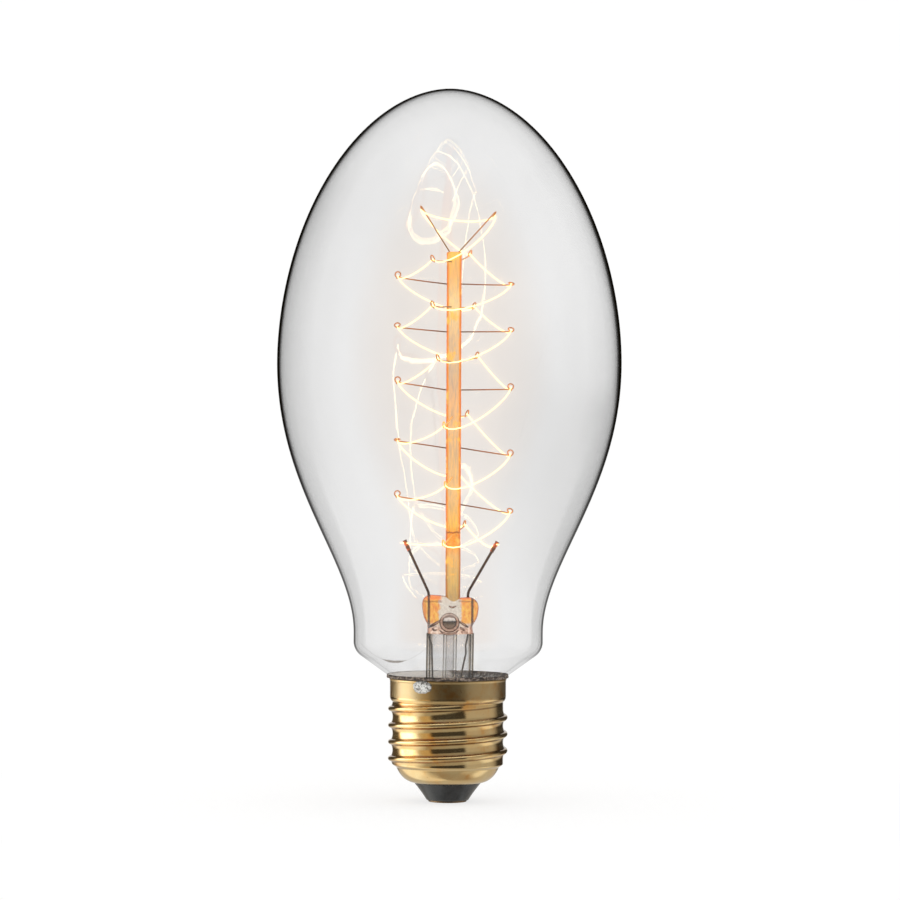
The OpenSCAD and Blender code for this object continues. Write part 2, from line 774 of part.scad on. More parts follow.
module filament_clamp(side) {
    way = side < 0 ? start_way : end_way;
    color([0.75, 0.33, 0.12])
        difference() {
            translate(lead_end(side))
                rotate([0, side * lead_lean(side), 0])
                    difference() {
                        translate([0, 0, -clamp_grip])
                            cylinder(r = clamp_r, h = clamp_len, $fn = fine_fn);
                        translate([0, 0, -clamp_len])
                            cylinder(r = lead_r + fit, h = clamp_len, $fn = fine_fn);
                    }
            translate(clamp_middle(side))
                rotate([0, 0, atan2(way.y, way.x)])
                    rotate([0, 90, 0])
                        cylinder(r = filament_r + channel, h = 4 * clamp_r, center = true, $fn = fine_fn);
        }
}

module filament_clamp_left() filament_clamp(-1);
module filament_clamp_right() filament_clamp(1);

hook_list = [for (level = [1:levels], side = level_sides(level)) [level, side]];

glass_envelope();
stem_flare();
stem_press();
exhaust_tube();
support_rod();
filament();
filament_clamp_left();
filament_clamp_right();
lead_wire_left();
lead_wire_right();
seal_wire_left();
seal_wire_right();
outer_lead_side();
outer_lead_centre();
cap_shell();
cap_insulator();
contact_plate();
contact_solder();
base_cement();
side_solder();
for (h = hook_list)
    support_hook(h[0], h[1]);
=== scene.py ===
"""A clear filament lamp on a brass screw cap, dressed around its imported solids.

Lengths are in millimetres until a mesh is made, and X runs right, Y away and Z up.
"""
import math

import bpy
from mathutils import Matrix, Vector, noise


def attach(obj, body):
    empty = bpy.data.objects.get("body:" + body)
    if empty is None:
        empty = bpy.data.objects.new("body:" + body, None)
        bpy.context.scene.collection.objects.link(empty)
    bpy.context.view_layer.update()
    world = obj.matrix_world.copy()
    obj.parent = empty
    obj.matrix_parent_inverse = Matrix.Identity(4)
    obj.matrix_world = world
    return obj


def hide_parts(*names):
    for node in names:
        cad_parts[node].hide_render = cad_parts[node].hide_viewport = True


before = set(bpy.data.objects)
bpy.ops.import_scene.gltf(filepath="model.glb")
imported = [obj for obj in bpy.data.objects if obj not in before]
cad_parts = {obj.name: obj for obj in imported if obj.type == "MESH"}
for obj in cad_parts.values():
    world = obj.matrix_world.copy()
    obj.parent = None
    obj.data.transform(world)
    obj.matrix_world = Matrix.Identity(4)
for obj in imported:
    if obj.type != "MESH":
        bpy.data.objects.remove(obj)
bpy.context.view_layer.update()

MM = 0.001
scene = bpy.context.scene

# Sizes of the bulb

lamp_h = 156
bulb_r = 37.7
bulb_wide_z = 96
dome_power = 1.9
belly_pull = 28
waist_pull = 15.5
waist_r = 20.7
waist_len = 2
shoulder_round = 3.8
shoulder_slope = 35.8
neck_round = 1.6
glass_wall = 0.7
neck_depth = 11.15
neck_gap = 0.53
seat_gap = 0.75

# Sizes of the cap

cap_h = 26.55
seam_rise = 0.5
thread_r = 13.1
thread_depth = 0.97
thread_pitch = 3.629
thread_low_z = 8.2
thread_turns = 3.72
thread_start = 60
thread_fade = 0.25
bead_half = 0.165
valley_rise = 0.3
collar_r = 12.7
collar_h = 3.65
collar_round = 1.2
rim_roll = 0.6
rim_bulge = 0.1
shell_dent = 0.015
shell_wall = 0.3
heel_r = 11.2
heel_z = 7.4
heel_ease = 0.9
heel_corner_share = 0.675
heel_corner_rise = 0.4
mouth_r = 7.5
mouth_z = 4.2
foot_r = 4.6
flank_hollow = 0.08
contact_r = 4.2
contact_t = 0.8
contact_proud = 0.4
contact_hole_r = 0.6
contact_dish = 0.25
solder_r = 2.2
solder_bore_r = 0.22
cement_proud = 0.65
cement_swell = (0.22, 0.1)
lump_drop = 1.35
lump_size = (2.2, 0.85, 1.35)
lump_swell = (0.16, 0.07)
side_turn = 244

# Sizes of the stem and the rod

stem_r = 5.2
stem_wall = 0.6
stem_len = 21.4
stem_shift = 0.45
shift_start_z = 16.5
shift_full_z = 26
stem_wave = 0.24
stem_wave_len = 1.7
press_w = 12.4
press_t = 4.2
press_h = 8.2
press_waist = 0.1
saddle_drop = 0.9
saddle_dip = 0.35
saddle_half = 2.0
lobe_skew = 0.5
lobe_flat = 2.4
exhaust_r = 1.5
exhaust_bore_r = 0.9
exhaust_len = 26.3
hole_z = 2.6
hole_x = 0.27
hole_tilt = 14
ring_r = 1.78
ring_wall = 0.42
ring_proud = 0.15
bowl_depth = 0.55
bowl_back = 0.9
fold_proud = 0.08
seal_lines = (-4.25, 5.25)
rod_r = 1.7
rod_len = 77.4
rod_seat = 1.2
rod_shift = 0.98
rod_uneven = 0.05
ring_line_z = 58.9

# Sizes of the wires, with the left side as -1 and the right as 1

lead_r = 0.3
lead_seat = 0.6
lead_bend = 3
lean = {-1: 25, 1: 30}
lead_len = 10.6
clamp_r = 0.48
clamp_len = 2.6
clamp_grip = 1.2
clamp_eye = 0.7
clamp_clear = 0.2
clamp_crimp = 0.12
seal_r = 0.25
seal_clear = 0.05
hook_r = 0.14
hook_len = 10.8
top_hook_len = 11.3
hook_seat = 0.9
hook_bend = 0.12
curl_r = 0.6
curl_turn = 318
curl_aside = 2.3 * hook_r
curl_tail = 0.27
filament_r = 0.15
drawn_share = 0.85
lowest_rise = 2.4
rest_gap = 0.12
first_tail = 2.04
last_tail = 1.2

# Sizes that follow

valley_r = thread_r - thread_depth
neck_r = valley_r - shell_wall - neck_gap
neck_end_z = cap_h - neck_depth
stem_top_z = neck_end_z + stem_len
press_top_z = stem_top_z + press_h
lobe_x = (press_w - press_t) / 2
rod_z = press_top_z - saddle_drop - rod_seat
rod_top_z = rod_z + rod_len
seal_x = stem_r - stem_wall - seal_r - seal_clear
hole_middle_z = stem_top_z + hole_z
lead_z = press_top_z - lead_seat
collar_foot_z = cap_h - collar_h
rim_z = cap_h + seam_rise
thread_base_z = thread_low_z - 0.5 * thread_pitch

# Camera, at the photograph's level view

photo_px = 900
view_width = 197.1
camera_back = 780
axis_px = 449
level_px = 450
foot_px = 801.3
camera_roll = -0.25
sensor = 36


def set_camera():
    """The whole frame is view_width wide at the lamp's axis."""
    scale = view_width / photo_px
    data = bpy.data.cameras.new("camera")
    data.sensor_width = sensor
    data.lens = sensor * camera_back / view_width
    data.clip_start = 0.01
    data.clip_end = 50
    camera = bpy.data.objects.new("camera", data)
    place = Vector(((photo_px / 2 - axis_px) * scale, -camera_back, (foot_px - level_px) * scale))
    camera.location = place * MM
    camera.rotation_euler = (math.radians(90), math.radians(camera_roll), 0)
    scene.collection.objects.link(camera)
    scene.camera = camera


set_camera()

# Curves and outlines


def arc(centre, r, start, end, steps):
    """Points on a circle between two directions in degrees."""
    turns = [math.radians(start + (end - start) * i / steps) for i in range(steps + 1)]
    return [(centre[0] + r * math.cos(a), centre[1] + r * math.sin(a)) for a in turns]


def curve(a, b, c, d, steps):
    """Points on a smooth curve that leaves a towards b and reaches d from c."""
    found = []
    for i in range(steps + 1):
        t = i / steps
        s = 1 - t
        weights = (s ** 3, 3 * s * s * t, 3 * s * t * t, t ** 3)
        found.append(tuple(sum(w * p[k] for w, p in zip(weights, (a, b, c, d))) for k in range(len(a))))
    return found


def inward(path, wall):
    """An outline moved towards the axis by the wall, for outlines that run outward and down."""
    moved = []
    for i, p in enumerate(path):
        before = path[max(i - 1, 0)]
        after = path[min(i + 1, len(path) - 1)]
        along = Vector((after[0] - before[0], after[1] - before[1])).normalized()
        if i == 0 and p[0] == 0:
            along = Vector((1, 0))
        moved.append((p[0] + wall * along.y, p[1] - wall * along.x))
    return moved


def smooth(t):
    """Rises from 0 to 1 with level ends."""
    t = max(0, min(1, t))
    return t * t * (3 - 2 * t)


def wobble(point, scale, seed):
    """A smooth change from -1 to 1 over about the given length."""
    return noise.noise(Vector(point) / scale + Vector((seed * 7.3, seed * 3.1, seed * 5.7)))


def circle(r, z, steps):
    """Points on a level circle about the axis."""
    turns = [2 * math.pi * s / steps for s in range(steps)]
    return [(r * math.cos(a), r * math.sin(a), z) for a in turns]


# Making meshes


def make_piece(name, points, faces):
    """A mesh object from points in millimetres."""
    mesh = bpy.data.meshes.new(name)
    mesh.from_pydata([Vector(p) * MM for p in points], [], faces)
    mesh.update()
    mesh.shade_smooth()
    piece = bpy.data.objects.new(name, mesh)
    scene.collection.objects.link(piece)
    return piece


def dress(piece, look, node):
    """The piece takes a finish, rides on the lamp and stands for the node."""
    piece.data.materials.append(look)
    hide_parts(node)
    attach(piece, "root")
    return piece


def repaint(name, look):
    """A node that is carried over as it is takes a finish."""
    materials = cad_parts[name].data.materials
    materials.clear()
    materials.append(look)


def net_faces(count, steps, closed=False, turned=False):
    """Faces between rings of points that follow one another, each ring with so many points."""
    faces = []
    for i in range(count if closed else count - 1):
        j = (i + 1) % count
        for s in range(steps):
            t = (s + 1) % steps
            face = (i * steps + s, i * steps + t, j * steps + t, j * steps + s)
            faces.append((face[1], face[0], face[3], face[2]) if turned else face)
    return faces


def lathe(outline, steps):
    """Points and faces of an outline turned about Z. The outline is closed, and its solid lies to
    the left of its way."""
    points = []
    rings = []
    for r, z in outline:
        if r < 1e-6:
            rings.append([len(points)] * steps)
            points.append((0, 0, z))
            continue
        rings.append(list(range(len(points), len(points) + steps)))
        points += circle(r, z, steps)
    faces = []
    for i, low in enumerate(rings):
        high = rings[(i + 1) % len(rings)]
        for s in range(steps):
            t = (s + 1) % steps
            face = []
            for corner in (low[s], low[t], high[t], high[s]):
                if corner not in face:
                    face.append(corner)
            if len(face) > 2:
                faces.append(face)
    return points, faces


def sweep(route, radius, sides):
    """Points and faces of a round tube along a route. radius is a number or a function of the
    share of the way."""
    route = [Vector(p) for p in route]
    last = len(route) - 1
    ways = [(route[min(i + 1, last)] - route[max(i - 1, 0)]).normalized() for i in range(last + 1)]
    across = ways[0].orthogonal().normalized()
    points = []
    for i, (p, way) in enumerate(zip(route, ways)):
        across = (across - across.dot(way) * way).normalized()
        side = way.cross(across)
        r = radius(i / last) if callable(radius) else radius
        for s in range(sides):
            a = 2 * math.pi * s / sides
            points.append(p + r * (math.cos(a) * across + math.sin(a) * side))
    faces = net_faces(last + 1, sides)
    faces.append(tuple(range(sides - 1, -1, -1)))
    faces.append(tuple(last * sides + s for s in range(sides)))
    return points, faces


def joined(*shapes):
    """Several shapes as one list of points and faces."""
    points = []
    faces = []
    for more_points, more_faces in shapes:
        start = len(points)
        points += list(more_points)
        faces += [tuple(start + k for k in f) for f in more_faces]
    return points, faces


def smooth_route(knots, steps):
    """Points on a smooth curve through all the knots."""
    knots = [Vector(k) for k in knots]
    found = []
    for i in range(len(knots) - 1):
        a = knots[max(i - 1, 0)]
        b = knots[i]
        c = knots[i + 1]
        d = knots[min(i + 2, len(knots) - 1)]
        for k in range(steps):
            t = k / steps
            found.append(0.5 * (2 * b + (c - a) * t + (2 * a - 5 * b + 4 * c - d) * t * t
                                + (3 * b - a - 3 * c + d) * t ** 3))
    found.append(knots[-1])
    return found


# Making materials


class Nodes:
    """A node tree that is built by name. A value given to a node may be a number, a colour or a
    socket."""

    def __init__(self, owner):
        self.owner = owner
        owner.use_nodes = True
        self.tree = owner.node_tree
        self.tree.nodes.clear()

    def node(self, kind, values=(), **settings):
        made = self.tree.nodes.new("ShaderNode" + kind)
        for key, value in settings.items():
            setattr(made, key, value)
        for key, value in dict(values).items():
            self.put(made.inputs[key], value)
        return made

    def put(self, socket, value):
        if isinstance(value, bpy.types.NodeSocket):
            self.tree.links.new(value, socket)
        elif socket.type == "RGBA" and len(value) == 3:
            socket.default_value = (*value, 1)
        else:
            socket.default_value = value

    def split(self, vector):
        return self.node("SeparateXYZ", {0: vector}).outputs

    def facing(self):
        """0 where the surface is seen face on, and 1 where it is seen edge on."""
        return self.node("LayerWeight", {"Blend": 0.5}).outputs["Facing"]

    def math(self, what, a, b=0.0, c=0.0):
        return self.node("Math", {0: a, 1: b, 2: c}, operation=what).outputs[0]

    def plus(self, a, b):
        return self.math("ADD", a, b)

    def less(self, a, b):
        return self.math("SUBTRACT", a, b)

    def times(self, value, *others):
        for other in others:
            value = self.math("MULTIPLY", value, other)
        return value

    def gap(self, a, b):
        return self.math("ABSOLUTE", self.less(a, b))

    def away(self, x, y):
        return self.math("SQRT", self.plus(self.times(x, x), self.times(y, y)))

    def grain(self, scale, detail=2.0, rough=0.5, stretch=(1, 1, 1)):
        """Noise from 0 to 1, with so many changes to a millimetre."""
        moved = self.node("VectorMath", {0: self.place, 1: stretch}, operation="MULTIPLY").outputs[0]
        values = {"Vector": moved, "Scale": scale, "Detail": detail, "Roughness": rough}
        return self.node("TexNoise", values).outputs["Fac"]

    def ramp(self, share, *stops):
        """Colour or grey that follows the share. A stop is a place and a colour or a grey."""
        made = self.node("ValToRGB", {"Fac": share})
        band = made.color_ramp
        while len(band.elements) < len(stops):
            band.elements.new(1)
        for element, (spot, shade) in zip(band.elements, stops):
            element.position = spot
            element.color = (shade, shade, shade, 1) if isinstance(shade, (int, float)) else (*shade, 1)
        return made.outputs["Color"]

    def mix(self, share, a, b, way="MIX"):
        made = self.node("Mix", data_type="RGBA", blend_type=way, clamp_factor=True)
        self.put(made.inputs["Factor"], share)
        sockets = [s for s in made.inputs if s.type == "RGBA"]
        self.put(sockets[0], a)
        self.put(sockets[1], b)
        return [s for s in made.outputs if s.type == "RGBA"][0]

    def tinted(self, a, b):
        """Two colours multiplied. A single grey may stand for the second."""
        return self.mix(1.0, a, (b, b, b) if isinstance(b, float) else b, "MULTIPLY")

    def bump(self, height, strength, distance):
        values = {"Height": height, "Strength": strength, "Distance": distance * MM}
        return self.node("Bump", values).outputs[0]

    def range(self, value, low, high, to_low=0.0, to_high=1.0, kind="LINEAR"):
        limits = {"Value": value, "From Min": low, "From Max": high, "To Min": to_low, "To Max": to_high}
        return self.node("MapRange", limits, interpolation_type=kind).outputs[0]

    def ease(self, value, low, high, to_low=0.0, to_high=1.0):
        return self.range(value, low, high, to_low, to_high, "SMOOTHSTEP")

    def spread(self, cloud, low, high):
        """The usual range of a noise, brought between two values."""
        return self.range(cloud, 0.3, 0.7, low, high)

    def uneven(self, value, cloud, most):
        """A value that a noise moves up or down, by so much at most."""
        return self.plus(value, self.spread(cloud, -most, most))

    def band(self, value, rise, fall):
        """1 between a rise and a fall, each given as where it starts at 0 and where it reaches 1."""
        return self.times(self.ease(value, *rise), self.ease(value, *fall))

    def mix_shader(self, share, a, b):
        made = self.node("MixShader", {0: share})
        self.put(made.inputs[1], a)
        self.put(made.inputs[2], b)
        return made.outputs[0]

    def finish(self, shader):
        self.node("OutputMaterial", {"Surface": shader})
        return self.owner

    def solid(self, **values):
        """The material, from values by the names of the shader's inputs."""
        named = {key.replace("_", " "): value for key, value in values.items()}
        return self.finish(self.node("BsdfPrincipled", named).outputs[0])


def new_look(name):
    """Nodes of a material, which know the place in the lamp's frame, in millimetres."""
    look = Nodes(bpy.data.materials.new(name))
    spot = look.node("TexCoord").outputs["Object"]
    look.place = look.node("VectorMath", {0: spot, "Scale": 1 / MM}, operation="SCALE").outputs[0]
    return look


# How much light the glass lets through, from face on to edge on
outer_edge = ((0, 0.97), (0.26, 0.955), (0.39, 0.93), (0.577, 0.84), (0.697, 0.76), (0.759, 0.69),
              (0.79, 0.57), (0.82, 0.3), (0.85, 0.03), (1, 0.02))
top_edge = ((0, 0.98), (0.4, 0.957), (0.57, 0.913), (0.656, 0.845), (0.71, 0.76), (0.765, 0.6), (0.8, 0.25),
            (0.85, 0.03), (1, 0.02))
low_edge = ((0, 0.975), (0.39, 0.965), (0.5, 0.95), (0.55, 0.885), (0.7, 0.83), (0.78, 0.71), (0.84, 0.35),
            (0.9, 0.3), (1, 0.6))
cone_edge = ((0, 0.975), (0.39, 0.97), (0.577, 0.94), (0.697, 0.9), (0.78, 0.86), (0.88, 0.84), (1, 0.86))
inner_edge = ((0, 0.985), (0.8, 0.985), (1, 0.9))
tube_edge = ((0, 0.99), (0.4, 0.98), (0.58, 0.92), (0.71, (0.58, 0.54, 0.49)), (0.82, (0.28, 0.25, 0.21)),
             (1, (0.24, 0.21, 0.18)))
# Painted light on the right of the bulb, painted shade lower down and a painted reflection higher up: how
# each comes in to the right, where it starts and ends upwards, and how much it multiplies what the glass
# lets through
right_painted_light = [
    ((3, 22), (38, 60), (114, 80), 0.955),
    ((8, 26), (96, 132), (160, 156), 1.02),
]
# The dark arc low on the front: its middle, half its width, its height, its bow and thickness
arc_x = -11.6
arc_half = 3.3
arc_z = 31.35
arc_bow = 0.75
arc_thick = 0.3
glass_shine = 0.06
inside_film = (0.985, 0.96, 0.94)


def glass_waves(look):
    return look.grain(0.06, 3.0, 0.55, (1, 1, 0.4))


def streaked(look, tint, waves):
    return look.tinted(tint, look.ramp(waves, (0.3, 0.985), (0.7, 1.0)))


def finish_glass(look, tint, waves, shine):
    """Glass too thin to bend the light: it lets the tint through and mirrors the shine."""
    through = look.node("BsdfTransparent", {"Color": tint}).outputs[0]
    normal = look.bump(waves, 0.1, 1.0)
    gloss = look.node("BsdfGlossy", {"Roughness": 0.015, "Normal": normal}).outputs[0]
    return look.finish(look.mix_shader(shine, through, gloss))


def thin_glass(name, edge, film=None):
    """edge gives how much the glass lets through, and film tints it where it is seen face on."""
    look = new_look(name)
    waves = glass_waves(look)
    facing = look.facing()
    tint = streaked(look, look.ramp(facing, *edge), waves)
    if film:
        tint = look.tinted(tint, look.mix(look.ease(facing, 0.24, 0.04), (1, 1, 1), film))
    return finish_glass(look, tint, waves, glass_shine)


def bulb_look():
    """Outer surface of the bulb. It darkens towards its edge, in its own way at the top and on the right,
    below the belly and on the cone; on the right the lighter edge tones are a painted reflection of a light
    on that side. Painted shade and a faint painted reflection lie on its right, a small dark arc low on its
    front, and only its inner side mirrors."""
    look = new_look("bulb_glass")
    waves = glass_waves(look)
    facing = look.facing()
    x, y, z = look.split(look.place)
    # On the right the glass takes the top's edge tones, a painted reflection of a light on that side
    right = look.times(look.ease(x, 10, 26), look.ease(z, 84, 94))
    clear = look.math("MAXIMUM", look.ease(z, 126, 146), right)
    tint = look.mix(clear, look.ramp(facing, *outer_edge), look.ramp(facing, *top_edge))
    tint = look.mix(look.ease(z, 50, 92), look.ramp(facing, *low_edge), tint)
    tint = look.mix(look.ease(z, 30, 35), look.ramp(facing, *cone_edge), tint)
    tint = streaked(look, tint, waves)
    # Painted shade lower on the right and a painted reflection higher up
    for sideways, rise, fall, tone in right_painted_light:
        share = look.times(look.ease(x, *sideways), look.band(z, rise, fall))
        tint = look.mix(share, tint, look.tinted(tint, tone))
    across = look.math("DIVIDE", look.less(x, arc_x), arc_half)
    line = look.math("MULTIPLY_ADD", look.times(across, across), arc_bow, arc_z)
    thick = look.times(look.ease(look.math("ABSOLUTE", across), 1.0, 0.2), arc_thick)
    dark = look.ease(look.less(thick, look.gap(z, line)), -0.1, 0.15)
    dark = look.times(dark, look.math("LESS_THAN", y, 0), 0.75)
    tint = look.mix(dark, tint, (0.22, 0.18, 0.14))
    shine = look.times(look.node("NewGeometry").outputs["Backfacing"], glass_shine)
    return finish_glass(look, tint, waves, shine)


def brass_look():
    """Worn brass: gold with cloudy patches and specks, dark lines of painted shade and reddish stains along
    the foot of the thread, and a duller collar."""
    look = new_look("cap_brass")
    x, y, z = look.split(look.place)
    blotch = look.grain(0.22, 3.0, 0.6)
    speck = look.grain(1.6, 4.0, 0.65)
    brush = look.grain(2.4, 2.0, 0.5, (1, 1, 6))
    gold = look.ramp(blotch, (0.3, (0.9, 0.48, 0.14)), (0.44, (0.91, 0.65, 0.31)), (0.7, (0.93, 0.74, 0.4)))
    turn = look.math("DIVIDE", look.math("ARCTAN2", y, x), 2 * math.pi)
    wound = look.math("DIVIDE", look.less(z, thread_base_z), thread_pitch)
    lap = look.math("FRACT", look.plus(look.less(wound, turn), 2 + thread_start / 360))
    from_crest = look.gap(lap, 0.5)
    threaded = look.band(z, (heel_z + 0.4, heel_z + 1.6), (collar_foot_z + 0.1, collar_foot_z - 0.5))
    # Painted shade: dark lines in the creases at the foot of the thread
    painted_foot_shade = look.times(look.band(from_crest, (0.1, 0.16), (0.25, 0.19)), threaded, 0.65)
    gold = look.mix(painted_foot_shade, gold, (0.2, 0.1, 0.04))
    stained = look.ease(look.grain(0.12, 1.0), 0.42, 0.6, 0.15, 1.0)
    stained = look.times(stained, look.ease(x, 1.0, -4.0, 0.3, 1.0), threaded, 0.8)
    foot = look.times(look.band(from_crest, (0.1, 0.17), (0.27, 0.19)), stained)
    gold = look.mix(foot, gold, (0.42, 0.13, 0.035))
    spots = look.times(look.ramp(speck, (0.66, 0.0), (0.73, 1.0)), 0.55)
    gold = look.mix(spots, gold, (0.34, 0.12, 0.05))
    collar = look.ease(z, collar_foot_z - 0.2, collar_foot_z + 0.3)
    dull = look.times(collar, look.ease(z, rim_z - 0.3, rim_z - 0.6))
    gold = look.mix(dull, gold, look.tinted(gold, (0.64, 0.64, 0.65)))
    rough = look.plus(look.spread(blotch, 0.07, 0.15), look.times(collar, 0.24))
    return look.solid(
        Base_Color=gold, Metallic=1.0, Roughness=rough, Normal=look.bump(look.plus(brush, speck), 0.06, 0.1),
        Coat_Weight=0.55, Coat_Roughness=0.08)


def plain_metal(name, dark, light):
    """Cloudy dull metal between a dark and a light colour."""
    look = new_look(name)
    cloud = look.grain(1.5, 3.0, 0.6)
    return look.solid(
        Base_Color=look.ramp(cloud, (0.3, dark), (0.7, light)), Metallic=1.0,
        Roughness=look.spread(cloud, 0.32, 0.48), Normal=look.bump(cloud, 0.15, 0.05))


def hook_look():
    """Dark wire, browner and brighter towards the glow at its tip, and lit up by it on the front
    hooks low down."""
    look = new_look("hook_wire")
    x, y, z = look.split(look.place)
    cloud = look.grain(1.2, 2.0)
    reach = look.range(look.away(look.less(x, rod_shift), y), rod_r, rod_r + hook_len)
    colour = look.ramp(look.uneven(reach, cloud, 0.1), (0.0, (0.09, 0.05, 0.035)),
                       (0.35, (0.3, 0.09, 0.03)), (1.0, (0.58, 0.2, 0.055)))
    lit = look.times(look.ease(y, -1.2, -2.2), look.ease(z, 92, 86), 0.8)
    lit = look.plus(lit, look.ease(z, rod_top_z - 3, rod_top_z, 0.05, 0.2))
    return look.solid(
        Base_Color=colour, Metallic=0.6, Roughness=0.5, Normal=look.bump(cloud, 0.1, 0.03),
        Emission_Color=(1.0, 0.45, 0.07), Emission_Strength=lit)


def clamp_look():
    """Crimped wire end, dark in places and with a painted red glow in others."""
    look = new_look("clamp_metal")
    cloud = look.grain(0.9, 2.0)
    # Painted glow: red emission in patches
    return look.solid(
        Base_Color=look.ramp(cloud, (0.42, (0.1, 0.03, 0.015)), (0.6, (0.5, 0.08, 0.02))),
        Metallic=0.5, Roughness=0.45, Normal=look.bump(cloud, 0.2, 0.05),
        Emission_Color=(0.7, 0.12, 0.01), Emission_Strength=look.ramp(cloud, (0.42, 0.0), (0.62, 0.6)))


seen_glow = 2.8
cast_glow = 6.0
mirrored_glow = 8.0


def filament_look():
    """Glowing wire. The camera sees a warm white, and its mirror images and the light that it
    casts are stronger and yellower."""
    look = new_look("filament")
    cloud = look.grain(0.6, 1.0)
    seen = look.ramp(cloud, (0.3, (1.0, 0.74, 0.31)), (0.7, (1.0, 0.84, 0.35)))
    path = look.node("LightPath").outputs
    seen = look.mix(path["Is Camera Ray"], (1.0, 0.78, 0.42), seen)
    strength = look.math("MULTIPLY_ADD", path["Is Camera Ray"], seen_glow - cast_glow, cast_glow)
    strength = look.math("MULTIPLY_ADD", path["Is Glossy Ray"], mirrored_glow - cast_glow, strength)
    return look.finish(look.node("Emission", {"Color": seen, "Strength": strength}).outputs[0])


# Colours of the rod from its foot to its top, in its middle and towards its sides, and what they
# are multiplied by from face on to edge on
rod_core = (
    (0.026, (0.6, 0.41, 0.2)), (0.06, (0.72, 0.5, 0.21)), (0.14, (0.86, 0.53, 0.25)),
    (0.17, (0.98, 0.35, 0.045)), (0.2, (0.98, 0.36, 0.045)), (0.225, (0.98, 0.55, 0.13)),
    (0.3, (0.84, 0.56, 0.31)), (0.47, (0.84, 0.56, 0.35)), (0.58, (0.87, 0.55, 0.36)),
    (0.66, (0.72, 0.54, 0.44)), (0.75, (0.84, 0.6, 0.42)), (0.86, (0.97, 0.76, 0.48)),
    (0.93, (0.93, 0.56, 0.27)), (1.0, (1.0, 0.58, 0.2)))
rod_flank = (
    (0.0, (0.42, 0.22, 0.07)), (0.13, (0.78, 0.42, 0.14)), (0.18, (0.85, 0.24, 0.03)),
    (0.25, (0.97, 0.35, 0.03)), (0.8, (0.98, 0.34, 0.045)), (1.0, (0.98, 0.36, 0.04)))
rod_rim = (
    (0.0, 1.0), (0.34, 1.0), (0.46, (0.86, 0.66, 0.5)), (0.62, (0.74, 0.42, 0.25)),
    (0.78, (0.8, 0.48, 0.4)), (1.0, (0.9, 0.7, 1.0)))


def rod_look():
    """Clear glass that the glow fills with amber, strongest at its sides, with yellow patches of painted
    glow and a dark line round it low down."""
    look = new_look("rod_glass")
    facing = look.facing()
    cloud = look.grain(2.4, 4.0, 0.65, (1, 1, 0.14))
    tall = look.split(look.place)[2]
    high = look.range(tall, rod_z, rod_top_z)
    flank = look.ease(look.uneven(facing, cloud, 0.08), 0.17, 0.36)
    colour = look.mix(flank, look.ramp(high, *rod_core), look.ramp(high, *rod_flank))
    colour = look.tinted(colour, look.ramp(facing, *rod_rim))
    # Painted glow: yellow patches of the filament's light
    painted_glow_patch = look.ease(look.grain(0.3, 3.0, 0.6), 0.55, 0.68, 0.0, 0.85)
    colour = look.mix(painted_glow_patch, colour, (1.1, 0.62, 0.13))
    from_line = look.math("ABSOLUTE", look.uneven(look.less(tall, ring_line_z), cloud, 0.15))
    colour = look.mix(look.ease(from_line, 0.24, 0.1), colour, (0.42, 0.12, 0.02))
    light = look.ramp(cloud, (0.34, (0.78, 0.84, 0.98)), (0.5, 0.97), (0.66, (1.12, 1.06, 0.85)))
    shown = look.tinted(look.tinted(colour, light), (1.0, 0.95, 0.76))
    return look.solid(
        Base_Color=look.tinted(shown, 0.45), Roughness=0.06, IOR=1.5, Transmission_Weight=0.15,
        Specular_IOR_Level=0.2, Emission_Color=shown, Emission_Strength=0.64)


def press_look():
    """Pinched glass: amber where the glow shines into its wings, grey between them and pink below, speckled
    with painted highlights, with the sealed wires as dark lines inside it."""
    look = new_look("press_glass")
    x, _, z = look.split(look.place)
    cloud = look.grain(0.9, 4.0, 0.6)
    fine = look.grain(2.6, 3.0, 0.6)
    streak = look.grain(1.6, 3.0, 0.6, (1, 1, 0.35))
    gold = look.ramp(streak, (0.36, (0.78, 0.27, 0.07)), (0.5, (0.87, 0.42, 0.08)),
                     (0.62, (0.93, 0.56, 0.12)))
    grey = look.ramp(fine, (0.35, (0.6, 0.54, 0.47)), (0.55, (0.7, 0.66, 0.59)), (0.7, (0.84, 0.79, 0.7)))
    # The pink below is speckled with painted highlights
    pink = look.ramp(cloud, (0.38, (0.3, 0.13, 0.08)), (0.5, (0.7, 0.45, 0.33)), (0.6, (0.95, 0.75, 0.62)))
    off = look.gap(x, stem_shift)
    amber = look.ease(look.uneven(off, cloud, 0.35), 2.2, 2.7)
    amber = look.times(amber, look.ease(z, stem_top_z + 1.8, stem_top_z + 2.6))
    low = look.times(look.ease(z, stem_top_z + 2.6, stem_top_z + 0.9), 0.9)
    colour = look.mix(amber, look.mix(low, grey, pink), gold)
    top = look.ease(z, press_top_z - 1.1, press_top_z - 0.5)
    colour = look.mix(look.times(top, look.ease(off, 1.6, 2.4)), colour, (0.92, 0.28, 0.07))
    under_top = look.uneven(look.gap(z, press_top_z - 1.15), cloud, 0.15)
    shade = look.times(look.ease(under_top, 0.28, 0.1), look.ease(off, 1.5, 2.2), 0.6)
    colour = look.mix(shade, colour, (0.3, 0.1, 0.04))
    wired = look.times(look.ease(z, stem_top_z + 1, stem_top_z + 2), 0.9)
    for wire_x in seal_lines:
        near = look.uneven(look.gap(x, wire_x), fine, 0.08)
        line = look.times(look.ease(near, 0.36, 0.18), wired)
        colour = look.mix(line, colour, (0.06, 0.025, 0.02))
    edge = look.ramp(look.facing(), (0.0, 1.0), (0.42, 0.97), (0.6, (0.75, 0.52, 0.4)),
                     (0.78, (0.3, 0.15, 0.09)), (1.0, (0.16, 0.08, 0.05)))
    shown = look.tinted(colour, edge)
    return look.solid(
        Base_Color=look.tinted(shown, 0.55), Roughness=0.06, IOR=1.5, Transmission_Weight=0.15,
        Emission_Color=shown, Emission_Strength=0.6, Normal=look.bump(cloud, 0.25, 0.4))


